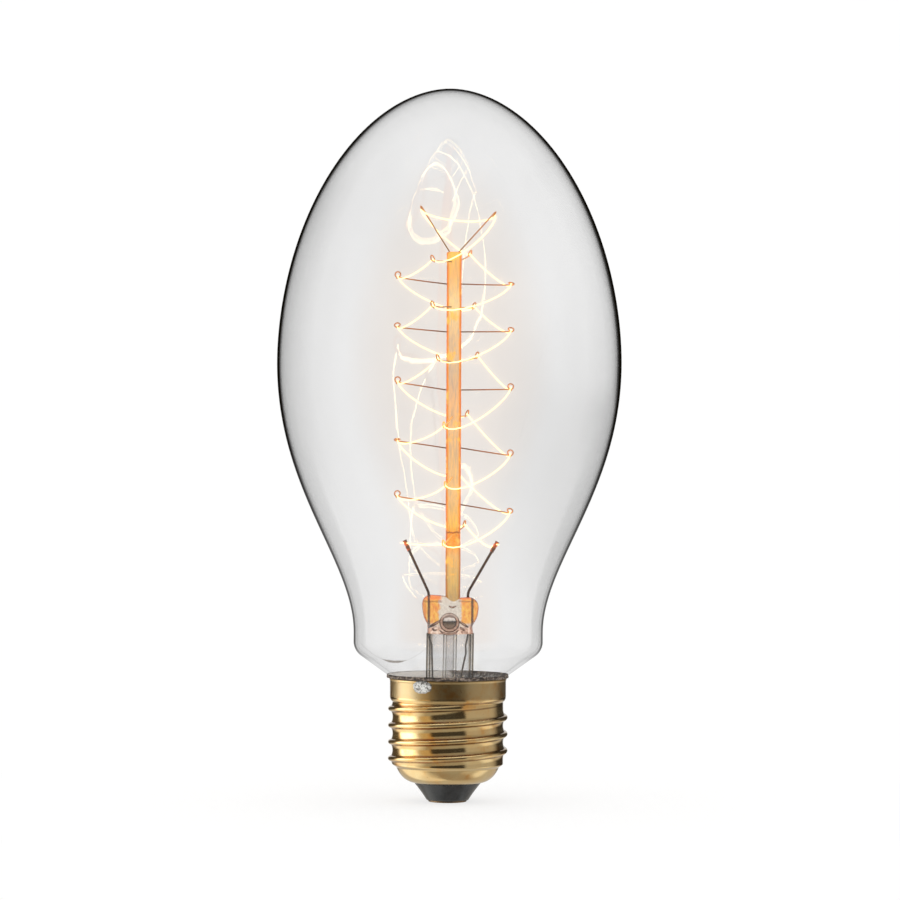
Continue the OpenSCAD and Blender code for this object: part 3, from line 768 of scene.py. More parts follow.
def fold_look():
    """Thick rounded glass seen edge on: pale in the middle of a fold and brown along its sides, with a faint
    painted glow.
    """
    look = new_look("fold_glass")
    z = look.split(look.place)[2]
    cloud = look.grain(1.8, 3.0, 0.6)
    face = look.uneven(look.facing(), cloud, 0.12)
    colour = look.ramp(face, (0.0, (0.55, 0.36, 0.27)), (0.1, (0.36, 0.2, 0.13)),
                       (0.26, (0.13, 0.06, 0.035)), (0.5, (0.04, 0.02, 0.012)), (1.0, (0.02, 0.012, 0.01)))
    over_hole = look.less(z, hole_middle_z)
    lit = look.times(look.band(over_hole, (0.6, 1.4), (2.2, 1.7)), 0.35)
    colour = look.mix(lit, colour, (0.8, 0.72, 0.66))
    # Painted glow: the fold glass faintly emits its colour
    return look.solid(
        Base_Color=look.tinted(colour, 0.6), Roughness=0.05, IOR=1.5,
        Emission_Color=colour, Emission_Strength=0.35)


def bowl_look():
    """The blown hole at the end of the exhaust tube: a pale painted gleam over a mouth dark with painted
    shade.
    """
    look = new_look("exhaust_hole")
    z = look.split(look.place)[2]
    cloud = look.grain(1.6, 2.0)
    rise = look.uneven(look.range(z, hole_middle_z - 1.5, hole_middle_z + 1.5), cloud, 0.04)
    # Painted gleam over the mouth and painted shade down inside it
    colour = look.ramp(rise, (0.0, (0.14, 0.07, 0.05)), (0.25, (0.2, 0.13, 0.08)),
                       (0.42, (0.08, 0.05, 0.03)), (0.56, (0.02, 0.015, 0.012)), (0.62, (0.6, 0.55, 0.5)),
                       (0.78, (0.86, 0.8, 0.76)), (0.86, (0.3, 0.2, 0.15)), (1.0, (0.5, 0.36, 0.28)))
    return look.solid(
        Base_Color=colour, Roughness=0.08, IOR=1.5, Emission_Color=colour, Emission_Strength=0.25)


def cement_look():
    """Crumbly cement: dark over the collar, dusty inside the neck, and pale at the back on the
    left, where light comes through the glass."""
    look = new_look("cement")
    x, y, _ = look.split(look.place)
    away = look.away(x, y)
    cloud = look.grain(1.6, 4.0, 0.75)
    wide = look.grain(0.25, 2.0)
    dark = look.ramp(cloud, (0.4, (0.012, 0.008, 0.006)), (0.5, (0.06, 0.045, 0.038)),
                     (0.6, (0.34, 0.27, 0.22)))
    dusty = look.ramp(cloud, (0.4, (0.05, 0.042, 0.038)), (0.5, (0.15, 0.14, 0.13)),
                      (0.58, (0.5, 0.48, 0.46)))
    inner = look.times(look.ease(away, 13.0, 12.2), look.ease(x, -9.0, -1.0, 0.35, 1.0),
                       look.range(wide, 0.4, 0.6, 0.7, 1.0))
    ragged = look.plus(x, look.range(wide, 0.4, 0.6, -1.0, 1.0))
    pale = look.times(look.ease(ragged, 2.0, 0.6), look.ease(y, -1.5, 0.5), look.ease(away, 13.3, 13.0))
    colour = look.mix(pale, look.mix(inner, dark, dusty), (0.95, 0.93, 0.9))
    return look.solid(Base_Color=colour, Roughness=0.7, Normal=look.bump(cloud, 0.8, 0.3))


def solder_look():
    """Dull solder with a crust of bright and dark specks."""
    look = new_look("solder")
    cloud = look.grain(1.1, 4.0, 0.75)
    fine = look.grain(3.2, 3.0, 0.7)
    colour = look.ramp(cloud, (0.34, (0.12, 0.11, 0.1)), (0.42, (0.6, 0.59, 0.56)),
                       (0.52, (0.95, 0.95, 0.92)))
    specks = look.ramp(fine, (0.4, 0.0), (0.47, 1.0))
    colour = look.tinted(colour, look.mix(specks, (0.06, 0.055, 0.05), (1, 1, 1)))
    return look.solid(
        Base_Color=colour, Metallic=0.2, Roughness=0.4, Normal=look.bump(look.plus(cloud, fine), 0.9, 0.35))


def black_glass_look():
    """Smooth black glass, a little cloudy."""
    look = new_look("black_glass")
    cloud = look.grain(0.7, 3.0, 0.6)
    return look.solid(
        Base_Color=look.ramp(cloud, (0.3, (0.016, 0.017, 0.019)), (0.8, (0.032, 0.033, 0.035))),
        Roughness=look.spread(cloud, 0.12, 0.25), IOR=1.55, Specular_Tint=(0.8, 0.9, 1.0, 1),
        Normal=look.bump(cloud, 0.1, 0.1))


bulb_glass = bulb_look()
bulb_glass_inside = thin_glass("bulb_glass_inside", inner_edge, inside_film)
stem_glass = thin_glass("stem_glass", tube_edge)
cap_brass = brass_look()
hook_metal = hook_look()
glow = filament_look()
rod_glass = rod_look()
press_glass = press_look()
fold_glass = fold_look()
hole_glass = bowl_look()
cement = cement_look()
black_glass = black_glass_look()
solder = solder_look()
contact_brass = plain_metal("contact_brass", (0.16, 0.1, 0.06), (0.34, 0.24, 0.14))
lead_metal = plain_metal("lead_wire", (0.05, 0.028, 0.02), (0.12, 0.065, 0.045))
seal_metal = plain_metal("seal_wire", (0.35, 0.12, 0.06), (0.5, 0.2, 0.1))
outer_metal = plain_metal("outer_lead", (0.1, 0.09, 0.08), (0.25, 0.23, 0.21))
clamp_metal = clamp_look()

# Bulb

slope = math.radians(shoulder_slope)
shoulder_end_r = waist_r - shoulder_round * (1 - math.sin(slope))


def cone_z(r):
    """Height of the cone between the shoulder and the neck."""
    return cap_h + seat_gap + (r - collar_r) * math.tan(slope)


shoulder_z = cone_z(shoulder_end_r) + shoulder_round * math.cos(slope)
waist_z = shoulder_z + waist_len
neck_centre_r = neck_r + neck_round
neck_centre_z = cone_z(neck_centre_r - neck_round * math.sin(slope)) - neck_round * math.cos(slope)
neck_arc = arc((neck_centre_r, neck_centre_z), neck_round, 90 + shoulder_slope, 180, 8)
bulb_steps = 192


def bulb_outline():
    """Outside of the glass, from the top of the dome to the end of the neck."""
    steps = 48
    dome = []
    for i in range(steps + 1):
        a = math.radians(90 - 90 * i / steps)
        r = bulb_r * max(math.cos(a), 0) ** (2 / dome_power) if i else 0
        dome.append((r, bulb_wide_z + (lamp_h - bulb_wide_z) * math.sin(a) ** (2 / dome_power)))
    dome[-1] = (bulb_r, bulb_wide_z)
    body = curve((bulb_r, bulb_wide_z), (bulb_r, bulb_wide_z - belly_pull),
                 (waist_r, waist_z + waist_pull), (waist_r, waist_z), 60)
    shoulder = arc((waist_r - shoulder_round, shoulder_z), shoulder_round, 0, shoulder_slope - 90, 12)
    return dome + body[1:] + shoulder + neck_arc + [(neck_r, neck_end_z)]


outside = bulb_outline()
inside = inward(outside, glass_wall)
points, faces = lathe(list(reversed(outside)) + inside, bulb_steps)
bulb = dress(make_piece("bulb_glass", points, faces), bulb_glass, "glass_envelope")
bulb.data.materials.append(bulb_glass_inside)
inner_faces = (len(outside) - 1) * bulb_steps
for polygon in bulb.data.polygons:
    if polygon.index >= inner_faces:
        polygon.material_index = 1

# Screw cap

collar_turn = math.acos(1 - (collar_r - valley_r) / collar_round)
thread_top_z = collar_foot_z - collar_round * math.sin(collar_turn)


def cap_outline_r(z):
    """Radius of the shell without its thread."""
    if z >= collar_foot_z:
        return collar_r
    if z >= thread_top_z:
        drop = collar_foot_z - z
        return collar_r - collar_round + math.sqrt(max(collar_round ** 2 - drop ** 2, 0))
    return valley_r


def thread_height(a, z):
    """How far the thread stands out at a direction in turns and a height."""
    turns = (z - thread_base_z) / thread_pitch
    place = (turns - a) % 1.0
    wound = turns - place
    rise = smooth(min(wound / thread_fade, (thread_turns - wound) / thread_fade, 1))
    off = abs(place - 0.5)
    bead = math.sqrt(max(1 - (off / bead_half) ** 2, 0)) if off < bead_half else 0
    side = max(0, (off - 0.5) / (0.5 - bead_half) + 1)
    hollow = valley_rise * (1 - side) ** 2 if off > bead_half else valley_rise
    return (hollow + (1 - valley_rise) * bead) * rise


def shell_ring(z, steps):
    """Outside of the shell at a height, with its thread, its rolled rim and slight dents."""
    base_r = cap_outline_r(z) + (heel_r - valley_r) * (1 - smooth((z - heel_z) / heel_ease))
    if z > rim_z - rim_roll:
        base_r += rim_bulge * math.sin(math.pi * (rim_z - z) / rim_roll)
    ring = []
    for s in range(steps):
        turn = s / steps
        a = 2 * math.pi * turn
        r = base_r + shell_dent * wobble((a * 6, 0, z), 2.0, 3)
        if z < thread_top_z + 0.2:
            r += thread_depth * thread_height(turn - thread_start / 360, z)
        ring.append((r * math.cos(a), r * math.sin(a), z))
    return ring


def cap_shell():
    """The rolled shell: its outside down to the heel, then its inside back up."""
    steps = 240
    rows = 240
    top = (heel_r, heel_z)
    mouth = (mouth_r, mouth_z)
    corner = (mouth_r + heel_corner_share * (heel_r - mouth_r), mouth_z + heel_corner_rise)
    pulls = [[end[k] / 3 + corner[k] * 2 / 3 for k in (0, 1)] for end in (top, mouth)]
    heel = curve(top, *pulls, mouth, 16)
    rings = [shell_ring(heel_z + (rim_z - heel_z) * k / rows, steps) for k in range(rows, 0, -1)]
    rings += [circle(r, z, steps) for r, z in heel]
    inner = [(collar_r - shell_wall, rim_z), (collar_r - shell_wall, collar_foot_z)]
    inner += [(valley_r - shell_wall, thread_top_z), (valley_r - shell_wall, heel_z + 1.2)]
    inner += [(r - 0.25, z + 0.25) for r, z in heel[:-1]] + [(mouth_r - 0.1, mouth_z + 0.02)]
    rings += [circle(r, z, steps) for r, z in reversed(inner)]
    points = [p for ring in rings for p in ring]
    return points, net_faces(len(rings), steps, closed=True, turned=True)


dress(make_piece("brass_shell", *cap_shell()), cap_brass, "cap_shell")


def insulator_outline():
    """Black glass from the contact up its hollow flank and into the shell."""
    steps = 12
    foot = Vector((foot_r, contact_proud))
    top = Vector((mouth_r - 0.1, mouth_z))
    side = (top - foot).orthogonal().normalized()
    flank = []
    for i in range(steps + 1):
        t = i / steps
        p = foot + (top - foot) * t + side * flank_hollow * 4 * t * (1 - t)
        flank.append((p.x, p.y))
    seat = [(contact_r, contact_t), (contact_r, contact_proud + 0.08), (contact_r + 0.08, contact_proud)]
    hidden = [(mouth_r, mouth_z + 0.35), (heel_r - 1.2, heel_z - 1.4), (heel_r - 0.6, heel_z)]
    return seat + flank + hidden + [(1, heel_z - 0.8), (1, contact_t)]


black_base = make_piece("black_glass_base", *lathe(insulator_outline(), 128))
dress(black_base, black_glass, "cap_insulator")

contact = [(contact_hole_r, contact_dish), (solder_r, contact_dish), (solder_r, 0.06), (solder_r + 0.06, 0)]
contact += [(contact_r - 0.12, 0), (contact_r - 0.03, 0.04), (contact_r, 0.12), (contact_r, contact_t)]
contact += [(contact_hole_r, contact_t)]
dress(make_piece("contact_disc", *lathe(contact, 96)), contact_brass, "contact_plate")


def cement_ring():
    """Bead of cement squeezed out over the collar, uneven all round."""
    steps = 240
    lip_r = collar_r + cement_proud
    top_z = cone_z(lip_r) + 0.12
    profile = [(collar_r - shell_wall, collar_foot_z), (collar_r - shell_wall, rim_z), (collar_r, rim_z)]
    profile += [(lip_r - 0.35, rim_z + 0.02), (lip_r - 0.08, rim_z + 0.08), (lip_r, (rim_z + top_z) / 2)]
    profile += [(lip_r - 0.1, top_z)] + [(r, z - 0.03) for r, z in neck_arc] + [(neck_r, collar_foot_z)]
    points = []
    for r, z in profile:
        for x, y, _ in circle(1, z, steps):
            swell = 0.0
            if r > collar_r - 0.05:
                spot = (8 * x, 8 * y, z)
                swell = cement_swell[0] * wobble(spot, 2.2, 1) + cement_swell[1] * wobble(spot, 0.8, 2)
            points.append(((r + swell) * x, (r + swell) * y, z))
    return points, net_faces(len(profile), steps, closed=True)


dress(make_piece("cement_ring", *cement_ring()), cement, "base_cement")


def solder_lump():
    """Lump of solder on the collar, over the end of the side lead."""
    rows = 24
    steps = 36
    turn = math.radians(side_turn)
    out = Vector((math.cos(turn), math.sin(turn), 0))
    across = Vector((-math.sin(turn), math.cos(turn), 0))
    middle = out * collar_r + Vector((0, 0, rim_z - lump_drop))
    wide, deep, tall = lump_size
    points = []
    for i in range(rows + 1):
        polar = math.pi * i / rows
        for x, y, z in circle(math.sin(polar), math.cos(polar), steps):
            spot = Vector((x, y, z)) * 2
            size = 1 + lump_swell[0] * wobble(spot, 0.8, 5) + lump_swell[1] * wobble(spot, 0.3, 6)
            points.append(middle + size * (across * x * wide + out * y * deep + Vector((0, 0, z * tall))))
    faces = [(a, d, c, b) for a, b, c, d in net_faces(rows + 1, steps)]
    return points, faces


dress(make_piece("solder_lump", *solder_lump()), solder, "side_solder")
solder_drop = [(0, 0.05), (solder_r - 0.25, 0.05), (solder_r - 0.05, 0.1), (solder_r, 0.2)]
solder_drop += [(solder_r, contact_dish), (contact_hole_r, contact_dish), (contact_hole_r, contact_t + 0.3)]
solder_drop += [(solder_bore_r, contact_t + 0.3), (solder_bore_r, 0.5), (0, 0.5)]
dress(make_piece("solder_drop", *lathe(solder_drop, 64)), solder, "contact_solder")

# Stem

neck_in_r = neck_r - glass_wall
flare_round = neck_in_r - stem_r
flare_centre = (neck_in_r, neck_end_z + flare_round)
flare = [(stem_r, stem_top_z)] + arc(flare_centre, flare_round, 180, 270, 20)
flare += [(neck_r, neck_end_z), (neck_r, neck_end_z - stem_wall)]
flare += arc(flare_centre, flare_round + stem_wall, 270, 180, 20) + [(stem_r - stem_wall, stem_top_z)]


def shifted(points, seed):
    """The stem leans a little, so it stands off the axis from a height on, and its glass is wavy
    between its foot and its seam."""
    moved = []
    for x, y, z in points:
        lean_x = stem_shift * smooth((z - shift_start_z) / (shift_full_z - shift_start_z))
        free = smooth((z - shift_start_z) / 4) * smooth((stem_top_z - z) / 2.5)
        spot = (math.copysign(2, x) if abs(x) > 0.1 else 0, 0, z)
        moved.append((x + lean_x + stem_wave * free * wobble(spot, stem_wave_len, seed), y, z))
    return moved


stem_points, stem_faces = lathe(list(reversed(flare)), 128)
stem = make_piece("stem_tube", shifted(stem_points, 9), stem_faces)
dress(stem, stem_glass, "stem_flare")

tip_z = stem_top_z - exhaust_len
exhaust = [(exhaust_bore_r, stem_top_z), (exhaust_r, stem_top_z)]
exhaust += arc((0, tip_z + exhaust_r), exhaust_r, 0, -90, 8)
exhaust[-1] = (0, tip_z)
exhaust += [(0, tip_z + exhaust_r), (exhaust_bore_r, tip_z + exhaust_r + exhaust_bore_r)]
exhaust_points, exhaust_faces = lathe(list(reversed(exhaust)), 64)
tube = make_piece("exhaust_glass", shifted(exhaust_points, 5), exhaust_faces)
dress(tube, stem_glass, "exhaust_tube")


def press_block():
    """The pinched end of the stem, from its round foot to its two lobes."""
    steps = 96
    rows = 26
    cap_rows = 10
    half = press_t / 2
    lobe_z = press_top_z - half
    turns = [2 * math.pi * k / steps for k in range(steps)]

    def stadium(a, r):
        """Point of a round-ended oblong in a direction."""
        shift = max(-1, min(1, lobe_flat * math.cos(a)))
        return Vector((lobe_x * shift + r * math.cos(a), r * math.sin(a), 0))

    def lift(x):
        """Height of the top over the lobes' middle level."""
        return -lobe_skew / 2 * x / lobe_x - saddle_dip * math.exp(-((x - rod_shift) / saddle_half) ** 2)

    points = []
    for i in range(rows + 1):
        v = i / rows
        share = smooth(v) ** 0.8
        waist = 1 - press_waist * math.exp(-((v - 0.25) / 0.2) ** 2)
        for a in turns:
            low = Vector((stem_r * math.cos(a), stem_r * math.sin(a), 0))
            p = low.lerp(stadium(a, half), share)
            p.x *= waist
            p.z = stem_top_z + (lobe_z - stem_top_z) * v + share * lift(p.x) * v
            points.append(p)
    for i in range(1, cap_rows + 1):
        rise = math.pi / 2 * i / cap_rows
        for a in turns:
            p = stadium(a, half * math.cos(rise))
            p.z = lobe_z + half * math.sin(rise) + lift(p.x)
            points.append(p)
    faces = net_faces(rows + cap_rows + 1, steps)
    faces.append(tuple(range(steps - 1, -1, -1)))
    return points, faces


def front_y(points, x, z):
    """Depth of the front of the press at a place."""
    def distance(p):
        return (p.x - x) ** 2 + (p.z - z) ** 2

    near = sorted([p for p in points if p.y < 0], key=distance)[:4]
    weights = [1 / (0.01 + distance(p)) for p in near]
    return sum(w * p.y for w, p in zip(weights, near)) / sum(weights)


def ring_and_bowl(points):
    """The rounded lip of the exhaust hole and the bowl inside it."""
    around = 56
    sides = 14
    rows = 7
    tilt = math.radians(hole_tilt)
    out = Vector((0, -math.cos(tilt), math.sin(tilt)))
    up = Vector((0, math.sin(tilt), math.cos(tilt)))
    middle = Vector((hole_x, front_y(points, hole_x, hole_middle_z - 1.2) - ring_proud, hole_middle_z))
    turns = [2 * math.pi * i / around for i in range(around)]
    ways = [math.cos(a) * Vector((1, 0, 0)) + math.sin(a) * up for a in turns]
    ring = []
    for a, way in zip(turns, ways):
        thick = ring_wall * (1 - 0.15 * math.sin(a))
        for k in range(sides):
            b = 2 * math.pi * k / sides
            ring.append(middle + (ring_r + thick * math.cos(b)) * way + thick * math.sin(b) * out)
    ring_faces = [(a, d, c, b) for a, b, c, d in net_faces(around, sides, closed=True)]
    bowl_r = ring_r - 0.3 * ring_wall
    bowl = [middle - bowl_depth * out]
    for j in range(1, rows + 1):
        share = j / rows
        bowl += [middle + bowl_r * share * way - bowl_depth * (1 - share ** 2) * out for way in ways]
    bowl += [middle + bowl_r * way - bowl_back * out for way in ways] + [middle - bowl_back * out]
    faces = [(0, 1 + i, 1 + (i + 1) % around) for i in range(around)]
    faces += [tuple(1 + k for k in (a, d, c, b)) for a, b, c, d in net_faces(rows + 1, around)]
    last = 1 + rows * around
    faces += [(last + i, len(bowl) - 1, last + (i + 1) % around) for i in range(around)]
    return (ring, ring_faces), (bowl, faces)


# Folds of the pinched glass round the hole, as places across and up, and a thickness
folds = [
    ([(-1.75, 2.95), (-3.0, 2.15), (-4.45, 1.25)], 0.32),
    ([(2.3, 2.75), (3.3, 2.2), (4.4, 1.45)], 0.27),
    ([(2.6, 1.6), (3.1, 1.15), (3.5, 0.75)], 0.25),
    ([(-3.5, 1.2), (-3.0, 0.8), (-2.4, 1.0)], 0.22),
    ([(-1.9, 0.9), (-1.0, 0.25), (0.25, 0.05), (1.5, 0.3), (2.2, 0.9)], 0.25),
    ([(0.1, 6.1), (0.85, 5.75), (1.7, 6.05)], 0.2),
]


def fold(points, way, thick):
    """A fold on the front of the press, thin at its ends."""
    def radius(t):
        return thick * (0.25 + 0.75 * math.sin(math.pi * min(max(t, 0), 1)) ** 0.6)

    route = smooth_route([(x, 0, stem_top_z + z) for x, z in way], 6)
    route = [(p.x, front_y(points, p.x - stem_shift, p.z) - fold_proud, p.z) for p in route]
    return sweep(route, radius, 10)


block_points, block_faces = press_block()
ring, bowl = ring_and_bowl(block_points)
details = joined(ring, *[fold(block_points, way, thick) for way, thick in folds])
block_points = [(x + stem_shift, y, z) for x, y, z in block_points]
press = make_piece("press_block", *joined((block_points, block_faces), details, bowl))
dress(press, press_glass, "stem_press")
press.data.materials.append(fold_glass)
press.data.materials.append(hole_glass)
for polygon in press.data.polygons:
    if polygon.index >= len(block_faces) + len(details[1]):
        polygon.material_index = 2
    elif polygon.index >= len(block_faces):
        polygon.material_index = 1


def rod_outline():
    """The rod is drawn by hand, so its width changes a little along its length."""
    steps = 60
    outline = [(0, rod_z), (rod_r, rod_z)]
    for i in range(1, steps):
        z = rod_z + rod_len * i / steps
        outline.append((rod_r - rod_uneven + rod_uneven * wobble((0, 0, z), 7, 4), z))
    outline += [(rod_r, rod_top_z - 0.3), (rod_r - 0.1, rod_top_z - 0.1), (rod_r - 0.3, rod_top_z)]
    return outline + [(0, rod_top_z)]


rod_points, rod_faces = lathe(rod_outline(), 64)
rod_points = [(x + rod_shift, y, z) for x, y, z in rod_points]
dress(make_piece("glass_rod", rod_points, rod_faces), rod_glass, "support_rod")

# Leads


def lead_along(side):
    """Way of a lead above its bend."""
    a = math.radians(lean[side])
    return Vector((side * math.sin(a), 0, math.cos(a)))


def lead_bow(side, a):
    """Point of a lead's bend, so many degrees round it."""
    a = math.radians(a)
    x = seal_x + lead_bend * (1 - math.cos(a))
    return Vector((side * x, 0, press_top_z + lead_bend * math.sin(a)))


def lead_end(side):
    return lead_bow(side, lean[side]) + lead_len * lead_along(side)


def clamp_radius(t):
    """The clamp is crimped at three places."""
    return clamp_r * (0.92 + clamp_crimp * math.cos(6 * math.pi * t))


for side, word in ((-1, "left"), (1, "right")):
    route = [Vector((side * seal_x, 0, lead_z))] + [lead_bow(side, lean[side] * i / 8) for i in range(9)]
    route += [route[-1] + lead_len * lead_along(side) * i / 8 for i in range(1, 9)]
    lead = make_piece("inner_lead_" + word, *sweep(route, lead_r, 12))
    dress(lead, lead_metal, "lead_wire_" + word)
    repaint("seal_wire_" + word, seal_metal)
    grip = lead_end(side) - clamp_grip * lead_along(side)
    route = [grip + clamp_len * lead_along(side) * i / 10 for i in range(11)]
    clamp = make_piece("clamp_" + word, *sweep(route, clamp_radius, 14))
    dress(clamp, clamp_metal, "filament_clamp_" + word)
repaint("outer_lead_side", outer_metal)
repaint("outer_lead_centre", outer_metal)

# Hooks. Odd levels have one to the right and one to the left, even levels to the back and front

level_share = [0, 0.0355, 0.113, 0.195, 0.282, 0.3885, 0.487, 0.582, 0.692, 0.795, 0.892, 1]
levels = len(level_share)
side_names = ["right", "back", "left", "front"]
# By side, and then by level from the top: how steeply each hook rises, in degrees
tilts = [
    [48, -1, 0.5, 1, -8.5, -9.5],
    [11, 1.5, 7, 2, 2, 9.5],
    [58, 7.5, 5, 8.5, 8, 9.5],
    [-2, -2, 0.5, -13, -11, -10.5],
]
# How far the back and front hooks turn towards the right and left, and how far each curl is
# turned about its hook
back_turn = [16.5, 21, 25, 14, 5, 12]
front_turn = [22, 22, 16, 10, 8, 10]
twists = [
    [85, 75, 55, 20, 15, 45],
    [25, 20, 15, 20, 10, 15],
    [85, 5, 45, 5, 75, 15],
    [20, 15, 20, 10, 15, 10],
]
top_root_r = 1
low_hook_z = lead_end(-1).z + lowest_rise
rest_r = hook_r + filament_r + rest_gap


def hook_row(level):
    return (level - 1) // 2


def hook_turn(level, side):
    """Direction of a hook, in degrees."""
    if side == 1:
        return 90 - back_turn[hook_row(level)]
    if side == 3:
        return 270 - front_turn[hook_row(level)]
    return 90 * side


def hook_reach(level):
    return top_hook_len if level == 1 else hook_len


def hook_place(level, side):
    """Matrix that takes a hook from its own frame, where it points along X, to the lamp's."""
    r = top_root_r if level == 1 else rod_r
    z = rod_top_z - level_share[level - 1] * (rod_top_z - low_hook_z)
    tilt = tilts[side][hook_row(level)]
    return (Matrix.Translation((rod_shift, 0, 0))
            @ Matrix.Rotation(math.radians(hook_turn(level, side)), 4, "Z")
            @ Matrix.Translation((r, 0, z))
            @ Matrix.Rotation(math.radians(-tilt), 4, "Y"))


def hook_rest(level, side):
    """Where the filament lies: on the wire at the foot of a loop."""
    up = rest_r if level > 1 else -rest_r
    return hook_place(level, side) @ Vector((hook_reach(level), 0, up))


def hook_shape(level, side):
    """Slightly bent wire, a loop seen at its own twist, and a short tail past the wire."""
    steps = 30
    reach = hook_reach(level)
    twist = math.radians(twists[side][hook_row(level)])
    up = 1 if level > 1 else -1
    rise = Vector((0, -math.sin(twist), up * math.cos(twist)))
    aside = Vector((0, math.cos(twist), up * math.sin(twist)))
    bend = hook_bend * wobble((level, side, 0), 0.7, 8)
    route = [Vector((-hook_seat, 0, 0))]
    for i in range(1, 9):
        t = i / 9
        route.append(Vector((reach * t, bend * math.sin(math.pi * t), 0.8 * bend * math.sin(math.pi * t))))
    for i in range(steps + 1):
        a = math.radians(curl_turn * i / steps)
        curl = Vector((reach + curl_r * math.sin(a), 0, 0)) + rise * curl_r * (1 - math.cos(a))
        route.append(curl + aside * curl_aside * smooth(i / steps))
    end = math.radians(curl_turn)
    way = Vector((math.cos(end), 0, 0)) + rise * math.sin(end)
    for k in range(3):
        route.append(route[-1] + way * curl_tail)
    place = hook_place(level, side)
    points, faces = sweep(route, hook_r, 8)
    return [place @ Vector(p) for p in points], faces


for level in range(1, levels + 1):
    for side in ((0, 2) if level % 2 else (1, 3)):
        name = "%02d_%s" % (level, side_names[side])
        hook = make_piece("wire_" + name, *hook_shape(level, side))
        dress(hook, hook_metal, "hook_" + name)

# Filament: from the left clamp up over one side of each level and down over the other

side_order_up = [3, 0, 1, 2]
side_order_down = [1, 0, 3, 2]
stops = [(levels - i, side_order_up[i % 4]) for i in range(levels)]
stops += [(i, side_order_down[i % 4]) for i in range(1, levels + 1)]
eyes = [hook_rest(*stop) for stop in stops]
clear_r = clamp_r + clamp_clear
# How deep a span sags and how much it bows out, as shares of its length, and the spans that
# differ, counted from the left clamp
sag_share = 0.12
own_sag = {0: 0.02, levels - 1: 0.07}
bow_share = 0.35
own_bow = {levels - 1: 0.1}
span_steps = 14


def clamp_middle(side):
    return lead_end(side) + clamp_eye * lead_along(side)


def level_way(v):
    return Vector((v.x, v.y, 0)).normalized()


start_way = level_way(eyes[0] - clamp_middle(-1))
end_way = level_way(clamp_middle(1) - eyes[-1])
knots = [clamp_middle(-1) + clear_r * start_way] + eyes + [clamp_middle(1) - clear_r * end_way]


def knot_way(i):
    """Level way of the wire as it passes a knot."""
    if i == 0:
        return start_way
    if i == len(knots) - 1:
        return end_way
    return level_way(level_way(knots[i + 1] - knots[i]) + level_way(knots[i] - knots[i - 1]))


def span_point(i, t):
    """Point of a span, which leaves its knots along their ways and hangs between them."""
    a = knots[i]
    b = knots[i + 1]
    long = (b - a).length
    s = 1 - t
    pull = own_bow.get(i, bow_share) * long
    sag = own_sag.get(i, sag_share) * long
    return (s * s * (1 + 2 * t) * a + t * s * s * pull * knot_way(i) + t * t * (3 - 2 * t) * b
            - t * t * s * pull * knot_way(i + 1) - Vector((0, 0, sag * 4 * t * s)))


filament_route = [clamp_middle(-1) - first_tail * start_way]
for i in range(len(knots) - 1):
    for k in range(span_steps):
        filament_route.append(span_point(i, (1 - math.cos(math.pi * k / span_steps)) / 2))
filament_route += [knots[-1], clamp_middle(1) + last_tail * end_way]
wire = make_piece("filament_wire", *sweep(filament_route, drawn_share * filament_r, 8))
dress(wire, glow, "filament")

# Studio

white_level = (1.0, 1.0, 1.0)
shade_level = 1.12
# Panels of light, by the direction to the right of the camera's: where each fades in and out, in
# degrees, how high it reaches, and its brightness
panels = [
    (-40, -32, 34, 40, 2.0, (0.29, 0.27, 0.245)),
    (-70, -56, -42, -26, 0.8, (0.5, 0.37, 0.2)),
    (-130, -112, -78, -52, 2.0, (0.85, 0.79, 0.68)),
    (-124, -108, -88, -58, 0.5, (2.1, 2.1, 2.05)),
    (34, 40, 96, 130, 2.0, (0.34, 0.315, 0.275)),
    (34, 40, 96, 130, 0.4, (0.43, 0.4, 0.36)),
    (160, 172, 188, 200, 2.0, (0.7, 0.7, 0.7)),
]
dark_panel = (-40, -32, 34, 40, 0.42, (0.04, 0.036, 0.032))
room_shade = (0.04, 0.036, 0.03)
ceiling = (1.1, 1.1, 1.1)
glass_room = (0.85, 0.85, 0.85)
table_back = (0.5, 0.47, 0.42)
table_left = (1.05, 1.0, 0.9)
table_middle = (0.34, 0.32, 0.28)
table_right = (0.5, 0.47, 0.42)
table_end = (0.85, 0.82, 0.75)
under_left = (0.8, 0.76, 0.68)
under_middle = (0.31, 0.27, 0.22)
under_right = (0.34, 0.3, 0.25)
# The table's brightness by direction, as a share of a turn from behind the lamp round by the
# left, and the same for what is nearly straight below
table_ring = (
    (0, table_back), (0.11, table_back), (0.14, table_left), (0.28, table_left), (0.37, table_middle),
    (0.6, table_middle), (0.63, table_right), (0.71, table_right), (0.75, table_end), (0.8, table_end),
    (0.83, table_back), (1, table_back))
under_ring = (
    (0, table_back), (0.08, table_back), (0.14, under_left), (0.27, under_left), (0.42, under_middle),
    (0.58, under_middle), (0.64, under_right), (0.8, under_right), (0.9, table_back), (1, table_back))


def hang(look, turn, z, room, panel):
    """The room with one more panel in it."""
    start, full, fade, end, reach, shade = panel
    level = look.ease(look.math("ABSOLUTE", z), reach, 0.7 * reach)
    for lap in ((0, 360) if end > 180 else (0,)):
        share = look.band(look.plus(turn, lap), (start, full), (end, fade))
        room = look.mix(look.times(share, level), room, shade)
    return room


